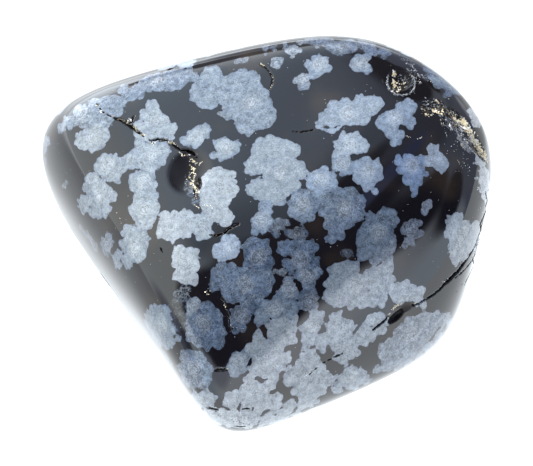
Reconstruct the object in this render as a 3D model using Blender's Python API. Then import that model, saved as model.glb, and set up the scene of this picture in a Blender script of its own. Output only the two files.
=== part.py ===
"""Snowflake obsidian: one tumbled pebble of black volcanic glass, about 30 x 27 x 16 mm.

The pebble is a single solid. Tumbling wore it to a few broad, gently crowned faces that run into
each other round soft shoulders. Each worn face is given by the way it looks from the pebble's
heart and its distance from there, and the skin is a smooth blend of them all. Chips that the
polish never wore away are scooped out of it. The snowflakes are grey mineral balls inside the
glass, cut flush by the polish, so they raise no shape of their own.
"""

import math

import bmesh
import bpy
from mathutils import Matrix, Vector, noise

MM = 0.001

# The worn faces: name, compass angle from +X and rise above level in degrees, distance in mm
WORN_FACES = (
    ("base", 0, -90, 6.8),
    ("top, leaning front left", 228, 74, 6.7),
    ("right ridge", -60, 46, 9.4),
    ("left ridge", 258, 50, 8.8),
    ("front wall", -63, 20, 10.7),
    ("under the front wall", -62, -40, 12.0),
    ("under the nose", 248, -30, 16.2),
    ("left front wall, lower", 209, -14, 10.6),
    ("left front wall, upper", 210, 28, 10.6),
    ("back shoulder, left", 109, 36, 12.8),
    ("back shoulder, right", 84, 34, 15.3),
    ("back wall", 100, -20, 12.0),
    ("left tip", 165, 14, 18.1),
    ("right end", -14, -8, 13.9),
    ("right shoulder", 14, 20, 17.6),
    ("back right shoulder", 50, 32, 15.6),
    ("back right wall", 50, -15, 14.0),
)
# How tightly the worn faces meet: a higher power leaves less of a shoulder between them
SHOULDER_POWER = 9.5
# Slow waves that tumbling leaves in the skin, in mm
SWELL_HEIGHT = 0.10
SWELL_SPACING = 8.0
# How much of the lowest point is worn off level, in mm: this makes the face that the pebble rests on
REST_WEAR = 0.08

# The chips: name, both ends as compass angle and rise in degrees, width across and depth in mm
CHIPS = (
    ("hollow in the top", (166, 50), (190, 47.6), 1.9, 0.36),
    ("broken wall of the hollow", (169, 52), (196, 51), 0.8, 0.28),
    ("round pit at the back right", (34, 45), (28.5, 41.4), 1.9, 0.50),
    ("shoulder scar, near the pit", (16.4, 41.6), (16.5, 36.7), 1.0, 0.24),
    ("shoulder scar, middle", (15.6, 37.6), (9.5, 30.4), 1.1, 0.26),
    ("shoulder scar, right end", (9.6, 31.2), (5.2, 20.5), 1.0, 0.26),
    ("chip beside the long crack", (-46.4, 2.9), (-39.2, 4.7), 0.62, 0.30),
    ("side of that chip", (-41.2, 6.3), (-36.2, 5.3), 0.66, 0.14),
    ("dimple in the back wall", (96, -2), (108, 4), 1.6, 0.28),
    ("nick in the back right wall", (46, 6), (50, 13), 0.9, 0.26),
    ("scar under the left tip", (178, -22), (190, -26), 1.2, 0.30),
)
# A chip's scoop is part of an ellipsoid, sunk to half of its own height
SUNK_SHARE = 0.5
# Points closer than this along a scoop's rim become one, in mm, which spares the rim most slivers
RIM_WELD = 0.05
STONE_SUBDIVISIONS = 5
SCOOP_SUBDIVISIONS = 3

GLASS_COLOUR = (0.011, 0.010, 0.011, 1.0)
GLASS_ROUGHNESS = 0.08


def way(compass, rise):
    """The unit vector that points from the heart at a compass angle and a rise, in degrees."""
    turn = math.radians(compass)
    lift = math.radians(rise)
    return Vector((math.cos(turn) * math.cos(lift), math.sin(turn) * math.cos(lift), math.sin(lift)))


FACE_LOOKS = tuple((way(compass, rise), distance) for _, compass, rise, distance in WORN_FACES)


def skin_point(look):
    """Where the line that leaves the heart along a unit vector meets the skin, in mm."""
    total = 0.0
    for face_look, distance in FACE_LOOKS:
        total += max(look.dot(face_look) / distance, 0.0) ** SHOULDER_POWER
    point = look * total ** (-1.0 / SHOULDER_POWER)
    return point + look * SWELL_HEIGHT * noise.noise(point / SWELL_SPACING)


def skin_normal(point):
    """The way that the skin faces at a point, from the faces that are blended there."""
    total = Vector()
    for face_look, distance in FACE_LOOKS:
        nearness = max(point.dot(face_look) / distance, 0.0)
        total += face_look * (nearness ** (SHOULDER_POWER - 1.0) / distance)
    return total.normalized()


def make_collection(name):
    collection = bpy.data.collections.new(name)
    bpy.context.scene.collection.children.link(collection)
    return collection


def make_glass():
    """Polished black glass, which shows as a faint brown where it is thin."""
    material = bpy.data.materials.new("Obsidian")
    material.use_nodes = True
    shader = material.node_tree.nodes["Principled BSDF"]
    shader.inputs["Base Color"].default_value = GLASS_COLOUR
    shader.inputs["Roughness"].default_value = GLASS_ROUGHNESS
    shader.inputs["Metallic"].default_value = 0.0
    material.diffuse_color = GLASS_COLOUR
    return material


def make_ball(name, subdivisions):
    """A closed ball of triangles, 1 mm in radius, shaded smooth."""
    mesh = bpy.data.meshes.new(name)
    build = bmesh.new()
    bmesh.ops.create_icosphere(build, subdivisions=subdivisions, radius=1.0)
    build.to_mesh(mesh)
    build.free()
    mesh.shade_smooth()
    return mesh


def shape_stone(mesh):
    """Blends the ball to the worn faces and wears the base level. Returns where the heart ends up."""
    points = [skin_point(vertex.co.normalized()) for vertex in mesh.vertices]
    level = min(point.z for point in points) + REST_WEAR
    for point in points:
        point.z = max(point.z, level)
    middle_x = (min(point.x for point in points) + max(point.x for point in points)) / 2
    middle_y = (min(point.y for point in points) + max(point.y for point in points)) / 2
    heart = Vector((-middle_x, -middle_y, -level))
    for vertex, point in zip(mesh.vertices, points):
        vertex.co = (point + heart) * MM
    mesh.update()
    return heart


def make_scoop(name, end_a, end_b, width, depth, heart, ball, cutters):
    """An ellipsoid that lies along a chip and dips into the skin by the chip's depth."""
    start = skin_point(way(*end_a))
    end = skin_point(way(*end_b))
    middle = skin_point((start + end).normalized())
    upward = skin_normal(middle)
    along = (end - start).normalized()
    along = (along - upward * along.dot(upward)).normalized()
    across = upward.cross(along)
    # The ellipsoid is cut at this share of its half height, so its rim is this much narrower
    rim_share = math.sqrt(1.0 - SUNK_SHARE**2)
    half_height = depth / (1.0 - SUNK_SHARE)
    half_length = (end - start).length / 2 / rim_share
    half_width = width / 2 / rim_share
    centre = (middle + upward * half_height * SUNK_SHARE + heart) * MM
    sizes = (along * half_length * MM, across * half_width * MM, upward * half_height * MM)
    scoop = bpy.data.objects.new(name, ball)
    scoop.matrix_world = Matrix.Translation(centre) @ Matrix(sizes).transposed().to_4x4()
    scoop.display_type = "WIRE"
    scoop.hide_render = True
    cutters.objects.link(scoop)


def make_stone():
    """The pebble, with every chip cut out of it."""
    mesh = make_ball("stone", STONE_SUBDIVISIONS)
    heart = shape_stone(mesh)
    mesh.materials.append(make_glass())
    stone = bpy.data.objects.new("stone", mesh)
    make_collection("Snowflake obsidian").objects.link(stone)
    cutters = make_collection("Chip scoops")
    ball = make_ball("scoop", SCOOP_SUBDIVISIONS)
    for name, end_a, end_b, width, depth in CHIPS:
        make_scoop(name, end_a, end_b, width, depth, heart, ball, cutters)
    cut = stone.modifiers.new("Chips", "BOOLEAN")
    cut.operation = "DIFFERENCE"
    cut.operand_type = "COLLECTION"
    cut.collection = cutters
    cut.solver = "EXACT"
    weld = stone.modifiers.new("Clean rims", "WELD")
    weld.merge_threshold = RIM_WELD * MM


for old in list(bpy.data.objects):
    bpy.data.objects.remove(old, do_unlink=True)
make_stone()
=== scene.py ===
"""Snowflake obsidian pebble: its polished skin, snowflakes, cracks and crumbs, in a white studio tent.

The pebble's skin is the same blend of worn faces as its solid, only finer. The snowflakes are
placed by the pixel where each lobe shows in the photograph, on the side that it shows, and
scattered over the rest. Lengths are in millimetres about the pebble's heart unless a name or a
unit says otherwise, and are turned to metres where a mesh is written.
"""

import functools
import math
import random
from collections import namedtuple

import bmesh
import bpy
import numpy as np
from mathutils import Matrix, Vector, noise
from mathutils.bvhtree import BVHTree


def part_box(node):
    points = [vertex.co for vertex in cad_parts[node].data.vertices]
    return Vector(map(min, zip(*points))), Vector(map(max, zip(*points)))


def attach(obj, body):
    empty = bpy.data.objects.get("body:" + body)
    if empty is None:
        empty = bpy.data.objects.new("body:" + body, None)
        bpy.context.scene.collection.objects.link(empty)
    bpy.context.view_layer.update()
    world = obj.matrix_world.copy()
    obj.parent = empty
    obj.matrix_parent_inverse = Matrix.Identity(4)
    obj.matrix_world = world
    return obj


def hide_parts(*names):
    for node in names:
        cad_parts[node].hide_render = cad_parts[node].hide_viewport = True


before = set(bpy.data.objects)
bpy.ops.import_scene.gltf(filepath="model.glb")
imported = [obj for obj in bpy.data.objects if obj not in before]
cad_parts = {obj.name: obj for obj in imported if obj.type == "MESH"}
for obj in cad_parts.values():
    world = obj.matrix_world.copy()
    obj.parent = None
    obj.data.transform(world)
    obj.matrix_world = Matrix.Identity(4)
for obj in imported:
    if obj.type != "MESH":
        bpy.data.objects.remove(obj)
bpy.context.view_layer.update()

bl_info = {
    "name": "Snowflake obsidian",
    "version": (1, 0, 0),
    "blender": (4, 5, 0),
    "location": "View3D > Sidebar > Obsidian",
    "description": "Builds a tumbled pebble of snowflake obsidian and the studio that it lies in",
    "category": "Object",
}

MM = 0.001

# How finely the pebble is meshed: the ball that it starts from, how often its edges are halved where
# detail needs it, and the most triangles that it may have
BALL_SUBDIVISIONS = 7
REFINEMENTS = 3
MOST_TRIANGLES = 200_000
# The longest edges, in mm: on plain skin, at a snowflake's rim, in a break and at a crack
PLAIN_EDGE = 0.30
RIM_EDGE = 0.13
BREAK_EDGE = 0.055
CRACK_EDGE = 0.06
# How near a snowflake's rim the finer mesh is needed, in mm
RIM_BAND = 0.12

# An edge is halved once it is this many times as long as it should be
EDGE_SLACK = 1.3

# Seeds of the random draws: scattered rosettes, their tones, and the first group of grains
ROSETTE_SEED = 11
TONE_SEED = 5
GRAIN_SEED = 100

# The photograph's frame, and where the pebble's heart lies in it
PHOTO_WIDTH, PHOTO_HEIGHT = 533, 466
HEART_PIXEL = (268.0, 232.0)
PIXELS_PER_MM = 15.0
SENSOR_WIDTH = 36.0

# The worn faces: compass angle from +X and rise above level in degrees, distance from the heart
WORN_FACES = {
    "base": (0, -90, 6.8),
    "top, leaning front left": (228, 74, 6.7),
    "right ridge": (-60, 46, 9.4),
    "left ridge": (258, 50, 8.8),
    "front wall": (-63, 20, 10.7),
    "under the front wall": (-62, -40, 12.0),
    "under the nose": (248, -30, 16.2),
    "left front wall, lower": (209, -14, 10.6),
    "left front wall, upper": (210, 28, 10.6),
    "back shoulder, left": (109, 36, 12.8),
    "back shoulder, right": (84, 34, 15.3),
    "back wall": (100, -20, 12.0),
    "left tip": (165, 14, 18.1),
    "right end": (-14, -8, 13.9),
    "right shoulder": (14, 20, 17.6),
    "back right shoulder": (50, 32, 15.6),
    "back right wall": (50, -15, 14.0),
}
SHOULDER_POWER = 9.5
SWELL_HEIGHT = 0.10
SWELL_SPACING = 8.0
REST_WEAR = 0.08

# The chips: both ends as compass angle and rise, width, depth, height of the ridges that the break
# left in it, and how much of it is bright. A chip without ridges is a polished hollow
CHIPS = {
    "hollow in the top": ((166, 50), (190, 47.6), 1.9, 0.36, 0.0, 0.0),
    "broken wall of the hollow": ((169, 52), (196, 51), 0.8, 0.28, 0.05, 0.15),
    "round pit at the back right": ((34, 45), (28.5, 41.4), 1.9, 0.50, 0.06, 0.0),
    "shoulder scar, near the pit": ((16.4, 41.6), (16.5, 36.7), 1.0, 0.24, 0.07, 0.25),
    "shoulder scar, middle": ((15.6, 37.6), (9.5, 30.4), 1.1, 0.26, 0.09, 0.35),
    "shoulder scar, right end": ((9.6, 31.2), (5.2, 20.5), 1.0, 0.26, 0.09, 0.5),
    "chip beside the long crack": ((-46.4, 2.9), (-39.2, 4.7), 0.62, 0.30, 0.03, 0.0),
    "side of that chip": ((-41.2, 6.3), (-36.2, 5.3), 0.66, 0.14, 0.0, 0.0),
    "dimple in the back wall": ((96, -2), (108, 4), 1.6, 0.28, 0.0, 0.0),
    "nick in the back right wall": ((46, 6), (50, 13), 0.9, 0.26, 0.05, 0.4),
    "scar under the left tip": ((178, -22), (190, -26), 1.2, 0.30, 0.04, 0.2),
}
SUNK_SHARE = 0.5
# A polished hollow runs out this far past the rim of its scoop
HOLLOW_REACH = 1.40

# Cracks, by the pixels that they pass in the photograph, with width in px and depth in mm
CRACKS = {
    "long crack, wide part": (((466, 259), (458, 270), (451, 277), (442, 285)), 4.2, 0.30),
    "long crack, thin part": (
        ((446, 281), (442, 286), (435, 292), (426, 298), (418, 303), (410, 305)), 1.8, 0.22,
    ),
    "strand above the long crack": (((484, 215), (480, 230), (475, 245), (466, 260)), 2.2, 0.15),
    "strand under the long crack": (((476, 252), (470, 262), (462, 271), (455, 277)), 1.6, 0.12),
    "outer strand": (((482, 238), (479, 251), (474, 264), (468, 276), (463, 286)), 2.0, 0.15),
    "outer strand, upper": (((486, 209), (483, 216), (480, 223), (481, 230)), 2.4, 0.15),
    "rim strand": (((485, 190), (487, 200), (484, 208)), 1.8, 0.12),
    "tail of the chip": (((389, 314), (385, 319), (379, 324), (373, 329)), 2.6, 0.14),
    "crack from the chip's tail": (((343, 352), (334, 356), (328, 359), (322, 362)), 1.3, 0.10),
    "end of that crack": (((318, 366), (313, 370), (309, 374)), 0.9, 0.06),
    "top crack, left": (((97, 103), (103, 111), (110, 115), (117, 118)), 1.2, 0.08),
    "top crack, middle": (((115, 117), (124, 120), (130, 124), (136, 129), (139, 132)), 4.0, 0.28),
    "top crack, end": (((136, 128), (140, 132), (144, 135)), 2.4, 0.20),
    "top crack, branch": (((131, 123), (134, 115)), 2.2, 0.12),
    "top crack, right": (((150, 139), (158, 138), (167, 139), (174, 144), (182, 150)), 2.6, 0.18),
    "crack over the hollow": (((180, 149), (187, 149), (193, 152), (200, 160)), 3.6, 0.28),
    "crack down the hollow's wall": (((190, 157), (189, 166), (190, 176), (194, 188), (196, 197)), 2.4, 0.20),
    "short red crack": (((209, 234), (217, 234), (224, 232), (229, 228), (233, 225), (239, 223)), 2.6, 0.16),
    "strand at the dark corner": (((215, 369), (220, 368), (227, 368)), 1.8, 0.12),
    "hairline by the long flake": (((291, 130), (300, 131), (309, 130), (316, 128)), 0.9, 0.07),
    "hairline at the top": (((259, 62), (265, 66), (270, 71), (273, 77), (272, 84), (270, 89)), 1.2, 0.10),
    "hairline in the dark ridge": (((222, 296), (226, 306), (229, 318), (231, 330)), 1.2, 0.08),
    "crack under the nose": (((209, 407), (214, 408.5), (219, 409)), 2.6, 0.14),
    "streak at the nose's rim": (((235, 425), (241, 426), (247, 425)), 1.8, 0.08),
    "streak over that": (((242, 408), (246, 407.5), (249, 408)), 1.6, 0.08),
    "nick at the top edge": (((168, 69), (173, 67), (178, 64)), 2.4, 0.12),
    "crack under the left low flake": (((160, 245), (163, 252)), 0.9, 0.06),
}

# Snowflakes, each as its lobes: the pixel of a lobe's middle and its radius in px. The middle of the
# first lobe is the snowflake's core
SNOWFLAKES = {
    "left tip, upper": (
        (84, 113, 12), (98, 108, 13), (112, 104, 12), (70, 121, 8), (62, 127, 5),
        (119, 101, 7), (104, 118, 10), (90, 121, 9), (116, 110, 8),
    ),
    "left tip, lower": ((93, 136, 13), (84, 139, 10), (102, 132, 8), (94, 144, 8), (98, 126, 8)),
    "left tip, rim": ((43, 139, 6), (45, 148, 5), (42, 158, 4)),
    "top edge, left": (
        (158, 80, 10), (131, 93, 7), (124, 89, 6), (138, 90, 8), (148, 82, 9),
        (168, 79, 11), (178, 76, 11), (187, 74, 8), (194, 75, 5),
    ),
    "beside the top crack": (
        (155, 119, 12), (152, 107, 8), (146, 113, 6), (163, 121, 8), (167, 130, 8), (173, 126, 5),
        (150, 130, 12), (141, 127, 8), (141, 134, 7), (168, 136, 6), (160, 134, 6),
    ),
    "under the top crack": (
        (152, 153, 13), (143, 147, 8), (163, 148, 9), (158, 158, 9), (147, 161, 12),
        (136, 153, 8), (129, 160, 8), (140, 142, 6),
    ),
    "left of that": (
        (107, 163, 11), (103, 168, 8), (115, 165, 11), (113, 174, 9), (121, 164, 8), (99, 166, 5),
    ),
    "left column, upper": (
        (143, 180, 13), (137, 182, 9), (149, 184, 9), (145, 194, 12), (151, 196, 9), (150, 174, 5),
    ),
    "left column, lower": ((144, 209, 14), (137, 211, 9), (152, 206, 8), (145, 219, 9), (141, 224, 6)),
    "left, tall": (
        (98, 196, 12), (92, 179, 8), (91, 187, 9), (99, 189, 10), (107, 194, 9),
        (86, 200, 8), (84, 207, 6), (101, 208, 9), (93, 211, 6),
    ),
    "left, low": (
        (134, 247, 13), (131, 233, 10), (140, 236, 9), (138, 254, 9), (126, 243, 7),
        (128, 259, 8), (118, 255, 6), (117, 263, 5), (143, 242, 6),
    ),
    "left, small": ((107, 242, 7), (106, 248, 6), (104, 244, 5), (108, 235, 3.5), (107, 252, 4)),
    "left rim, low": ((91, 239, 6), (86, 233, 5), (95, 246, 6), (81, 226, 4)),
    "left, speck": ((64, 184, 3), (66, 181, 2.4)),
    "centre left": (
        (172, 226, 14), (166, 218, 8), (163, 230, 8), (172, 232, 9), (184, 220, 11),
        (183, 229, 9), (190, 217, 7), (175, 217, 8),
    ),
    "centre left, right half": ((202, 226, 11), (201, 220, 9), (204, 231, 9), (208, 219, 6)),
    "beside the hollow": (
        (218, 185, 15), (214, 187, 13), (227, 187, 11), (213, 199, 11), (223, 199, 9),
        (205, 202, 6), (224, 213, 8), (217, 214, 8), (226, 219, 7), (211, 213, 6), (205, 193, 6),
    ),
    "left low, round": (
        (184, 262, 12), (181, 253, 9), (190, 254, 9), (191, 265, 9), (187, 274, 10),
        (180, 273, 7), (193, 277, 7),
    ),
    "top left, large": (
        (250, 101, 21), (206, 92, 16), (212, 76, 12), (232, 90, 18), (246, 82, 15),
        (263, 114, 14), (247, 120, 14), (233, 108, 12),
    ),
    "top left, speck": ((221, 112, 3), (224, 110, 2)),
    "right of the top crack": (
        (196, 136, 9), (203, 130, 8), (206, 134, 5), (188, 140, 6.5), (196, 142, 6), (184, 142, 4.5),
    ),
    "top centre, bean": (
        (225, 146, 9), (234, 145, 7), (218, 143, 5), (223, 153, 6.5), (213, 154, 4), (230, 151, 6),
    ),
    "top edge, sliver": ((241, 59, 3), (237, 60, 2), (245, 59, 3)),
    "top, round": ((276, 62, 6.5), (278, 61, 5.5)),
    "top edge, torn": ((294, 50, 6), (288, 47, 4.5), (300, 50, 4), (293, 55, 3), (286, 44, 3)),
    "top edge, dots": ((301, 41, 4), (306, 40, 3.5), (266, 47, 3.5), (273, 46, 3.5), (266, 53, 2.5)),
    "top, lobed": ((320, 63, 9.5), (324, 67, 7), (312, 65, 6.5), (318, 71, 6), (312, 75, 4)),
    "top, leaf": ((303, 78, 6.5), (305, 83, 5.5), (297, 80, 3.5), (299, 87, 2.5)),
    "beside the hollow, upper edge": (
        (206, 178, 6.5), (213, 174, 7), (221, 173, 7), (229, 176, 7), (204, 188, 6), (235, 181, 4),
    ),
    "rim of the hollow": ((188, 182, 5), (185, 186, 3.5), (192, 192, 5), (195, 199, 4), (190, 187, 4)),
    "top edge, band": (
        (341, 46, 9), (318, 40, 5), (327, 41, 6), (334, 45, 7), (350, 45, 8), (340, 50, 5.5),
        (362, 42, 6), (370, 47, 6.5), (374, 50, 5), (385, 52, 5), (380, 50, 4), (312, 39, 4),
    ),
    "top, under the band": ((361, 62, 9.5), (366, 66, 6.5), (355, 65, 5), (368, 56, 5), (358, 57, 4)),
    "long flake": (
        (347, 112, 14), (328, 120, 10), (336, 111, 12), (363, 108, 14), (373, 104, 11), (378, 101, 7),
        (331, 125, 8), (361, 117, 9), (322, 124, 5.5),
    ),
    "forked flake": (
        (395, 117, 10), (408, 107, 9), (401, 108, 7.5), (387, 117, 8), (381, 120, 7), (404, 114, 9),
        (412, 120, 5), (411, 126, 3.5), (390, 127, 8), (396, 135, 7.5), (394, 141, 4.5), (399, 131, 5),
    ),
    "centre right, top": (
        (350, 144, 13), (360, 145, 9), (341, 146, 8), (356, 137, 7), (343, 136, 5), (338, 152, 6.5),
        (347, 152, 7),
    ),
    "centre right, wing": (
        (368, 170, 12), (366, 164, 9), (373, 169, 10), (361, 172, 10), (370, 178, 9), (378, 174, 6.5),
        (366, 185, 6), (374, 189, 4), (358, 178, 6.5), (376, 162, 4.5), (359, 164, 6),
    ),
    "centre right, link": ((342, 162, 9.5), (348, 167, 8.5), (336, 165, 6), (345, 170, 6)),
    "centre, right of the gap": (
        (321, 178, 11), (315, 181, 9.5), (328, 182, 9.5), (320, 188, 8), (331, 175, 5.5), (325, 170, 5),
    ),
    "centre, ringed": (
        (303, 204, 12), (296, 210, 8.5), (306, 212, 9.5), (299, 197, 8), (313, 203, 8), (310, 195, 8),
        (289, 201, 4),
    ),
    "centre right, large": (
        (346, 208, 15), (355, 201, 11), (349, 193, 8.5), (340, 195, 9), (355, 213, 9), (345, 217, 12),
        (334, 212, 12), (326, 210, 8), (331, 224, 7.5), (335, 230, 8), (330, 237, 4.5), (325, 200, 8),
        (340, 228, 6), (332, 199, 8), (339, 232, 7), (334, 235, 6),
    ),
    "centre, large": (
        (279, 172, 17), (272, 147, 13), (262, 146, 9.5), (284, 149, 11), (293, 149, 8), (262, 160, 13),
        (252, 166, 8), (293, 168, 12), (298, 170, 9), (264, 184, 10), (256, 188, 9), (270, 189, 12),
        (284, 187, 10), (278, 197, 9), (261, 193, 7.5), (291, 183, 9),
    ),
    "centre, tail": (
        (262, 219, 10), (266, 207, 9), (258, 228, 8), (268, 222, 7), (262, 204, 5), (283, 200, 4.5),
    ),
    "centre, curl": ((279, 223, 7), (275, 230, 6), (284, 221, 4.5), (271, 225, 5)),
    "low left of centre": (
        (228, 247, 11), (229, 242, 9), (221, 251, 9), (231, 250, 8), (234, 243, 7),
    ),
    "dark ridge, upper": (
        (258, 256, 14), (254, 247, 12), (262, 245, 7.5), (248, 246, 7), (269, 262, 6), (251, 266, 9),
    ),
    "dark ridge, rosette": (
        (245, 283, 20), (262, 278, 12), (230, 276, 14), (218, 275, 9), (216, 284, 6.5), (232, 291, 11),
        (250, 294, 13), (267, 281, 7), (262, 288, 9), (224, 268, 7),
    ),
    "dark centre, top": ((297, 233, 6), (290, 233, 5.5), (304, 231, 5)),
    "dark centre": (
        (300, 258, 13), (288, 248, 10), (299, 248, 10), (310, 247, 8), (309, 263, 11),
        (289, 262, 8), (291, 269, 5), (283, 244, 5),
    ),
    "dark centre, lower": ((308, 273, 8), (314, 270, 8), (304, 273, 10), (309, 279, 8), (306, 285, 4.5)),
    "dark centre, crescent": ((282, 271, 4.5), (276, 270, 2.5)),
    "dark centre, pear": ((289, 288, 9), (288, 281, 6), (291, 293, 8), (282, 293, 6.5), (290, 299, 6)),
    "dark centre, tail": (
        (309, 300, 8), (306, 295, 7), (312, 293, 6), (303, 305, 5), (313, 303, 5), (309, 289, 5),
    ),
    "ridge, low": (
        (275, 308, 10), (263, 314, 8), (267, 305, 7), (284, 306, 9), (293, 308, 7), (259, 319, 5.5),
        (288, 315, 6), (278, 300, 6), (293, 303, 5),
    ),
    "ridge, low left": (
        (241, 314, 11), (236, 318, 8), (245, 316, 7), (240, 325, 7), (252, 306, 6), (237, 330, 3.5),
    ),
    "low left, large": (
        (203, 322, 16), (204, 313, 13), (213, 317, 10), (197, 333, 11),
        (213, 333, 12), (191, 322, 7.5), (217, 341, 7.5), (208, 342, 7), (197, 341, 6),
    ),
    "low left, top": ((194, 306, 9), (194, 300, 5), (192, 313, 6)),
    "low left, lower": (
        (195, 368, 14), (192, 361, 12), (200, 371, 12), (190, 376, 12), (184, 368, 7), (201, 380, 9),
        (186, 356, 7), (203, 362, 7.5),
    ),
    "left rim, lower": (
        (161, 324, 12), (155, 312, 8.5), (163, 312, 7), (150, 315, 7), (165, 333, 11), (158, 336, 10),
        (171, 338, 6.5), (167, 343, 6), (149, 325, 8), (177, 337, 4),
    ),
    "left rim, lowest": ((168, 360, 7), (172, 370, 6), (165, 353, 5), (174, 379, 4)),
    "ghost, upper": ((185, 289, 6.5), (177, 292, 5), (180, 298, 6), (187, 296, 4)),
    "ghost, lower": (
        (175, 304, 6), (183, 306, 6), (177, 314, 6.5), (182, 321, 6), (174, 321, 4), (180, 327, 4),
    ),
    "frosted rim under the nose": (
        (192, 405, 6), (199, 411, 7), (208, 415, 8), (218, 418, 8), (228, 419, 8), (238, 421, 8),
        (248, 423, 6), (222, 411, 5), (233, 412, 5), (214, 408, 4),
    ),
    "nose rim": (
        (262, 420, 8), (272, 417, 8), (282, 413, 8), (291, 408, 8), (300, 403, 7), (308, 402, 6),
        (280, 420, 5), (253, 420, 6), (296, 412, 5),
    ),
    "under the nose, left": ((203, 398.5, 8.5), (196, 398, 7.5), (210, 398.5, 7.5), (191, 397, 5)),
    "nose, left": ((239, 360, 9.5), (235, 368, 8), (243, 356, 6.5), (242, 368, 5.5)),
    "nose": (
        (265, 356, 13), (259, 338, 8), (263, 346, 9), (254, 348, 8), (272, 331, 9), (280, 336, 10),
        (290, 326, 7.5), (289, 336, 8), (276, 345, 9), (252, 362, 7), (262, 369, 11), (276, 362, 10),
        (285, 320, 7), (275, 324, 7), (294, 316, 5), (285, 357, 6.5), (275, 374, 7),
    ),
    "nose, lower": (
        (259, 392, 14), (251, 381, 8), (247, 388, 7), (268, 382, 7), (270, 395, 10), (277, 401, 7),
        (262, 404, 9), (250, 400, 9), (240, 396, 7), (232, 399, 8), (273, 406, 6), (258, 413, 7),
        (246, 409, 6), (224, 402, 5),
    ),
    "front, low": (
        (308, 373, 13), (300, 366, 9), (311, 360, 9), (292, 378, 9), (302, 380, 11), (318, 372, 11),
        (326, 378, 8), (313, 386, 10), (299, 389, 8), (320, 388, 7), (306, 397, 7), (292, 371, 6),
        (305, 353, 5), (313, 352, 5), (315, 398, 5),
    ),
    "front, between the veins": (
        (312, 324, 10), (316, 317, 8.5), (307, 326, 8.5), (321, 321, 5), (309, 338, 8), (319, 341, 9),
        (328, 337, 7.5), (304, 333, 5), (307, 344, 4.5), (322, 348, 5),
    ),
    "front, middle": (
        (343, 330, 13), (340, 318, 10), (334, 329, 9), (348, 321, 7), (356, 331, 8), (337, 342, 9),
        (349, 345, 10), (362, 337, 8), (352, 352, 7.5), (341, 356, 7), (371, 333, 8), (380, 327, 7),
        (385, 322, 5), (366, 328, 6),
    ),
    "front, under the chip": ((373, 318, 7.5), (380, 315, 5), (367, 322, 5)),
    "right, wide": (
        (356, 285, 14), (340, 272, 12), (335, 283, 10), (332, 296, 9), (345, 267, 8), (353, 268, 8),
        (386, 285, 5), (346, 297, 12), (362, 297, 11), (375, 278, 13), (378, 292, 10), (384, 270, 9),
        (387, 261, 7), (389, 277, 5.5), (372, 302, 6), (336, 303, 5), (381, 303, 4),
    ),
    "right, twin": (
        (379, 232, 14), (371, 216, 5.5), (387, 216, 10), (392, 220, 7), (368, 230, 9.5), (387, 233, 7.5),
        (375, 244, 14), (363, 241, 7.5), (365, 252, 8), (384, 248, 10), (393, 243, 4.5), (387, 256, 7),
        (376, 255, 9),
    ),
    "right, split": (
        (410, 227, 8.5), (413, 223, 7), (418, 222, 4), (404, 229, 5), (412, 233, 6), (407, 240, 5),
        (411, 240, 4.5), (405, 244, 3), (420, 232, 3.5),
    ),
    "right, drop": ((427, 205, 5), (425, 210, 4.5), (428, 202, 3.5)),
    "right, star": (
        (411, 165, 10), (399, 160, 5.5), (409, 159, 7), (419, 160, 6.5), (406, 169, 8), (417, 171, 9),
        (408, 177, 7.5), (418, 179, 6.5), (413, 187, 4.5), (414, 193, 2.3), (425, 173, 3.5),
    ),
    "right, arrow": (
        (436, 158, 9), (434, 150, 6), (443, 160, 7), (427, 161, 5), (440, 166, 5.5), (447, 162, 3.5),
        (442, 170, 2.6), (432, 145, 3.5),
    ),
    "dark, speck": ((345, 251, 5), (348, 252, 4)),
    "right end": (
        (461, 236, 12), (456, 221, 9), (454, 231, 9), (464, 227, 9), (475, 228, 8), (458, 247, 10),
        (470, 243, 9), (456, 257, 7), (463, 254, 6), (478, 238, 6),
    ),
    "over the chip": (
        (404, 290, 11), (397, 293, 8), (411, 291, 9), (419, 291, 6.5), (418, 299, 6), (399, 298, 7),
        (423, 303, 4), (393, 287, 5),
    ),
    "right, lower": (
        (411, 334, 14), (428, 320, 10), (436, 318, 8), (415, 324, 10), (420, 339, 11), (403, 335, 10),
        (398, 346, 12), (385, 352, 9), (410, 349, 10), (388, 364, 8), (400, 360, 8), (378, 368, 5),
        (431, 331, 8), (441, 325, 6), (446, 316, 5),
        (437, 336, 7), (428, 345, 7), (418, 353, 7), (408, 360, 7), (398, 366, 6), (449, 322, 5),
    ),
    "front, lowest": (
        (352, 376, 10), (349, 371, 8), (342, 380, 8), (360, 376, 8), (352, 385, 7), (366, 379, 5),
        (337, 388, 6), (346, 367, 4),
    ),
    "right shoulder, rim": (
        (443, 82, 6.5), (430, 70, 5), (437, 76, 6), (450, 88, 5.5), (425, 68, 3), (448, 92, 4.5),
    ),
    "right rim": ((474, 114, 6), (472, 106, 5), (476, 119, 5), (478, 124, 4), (471, 110, 4.5)),
    "right rim, lower": (
        (484, 172, 7), (481, 160, 6), (478, 153, 3), (486, 184, 6), (483, 178, 6), (486, 194, 6),
        (483, 190, 4),
    ),
}
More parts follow.
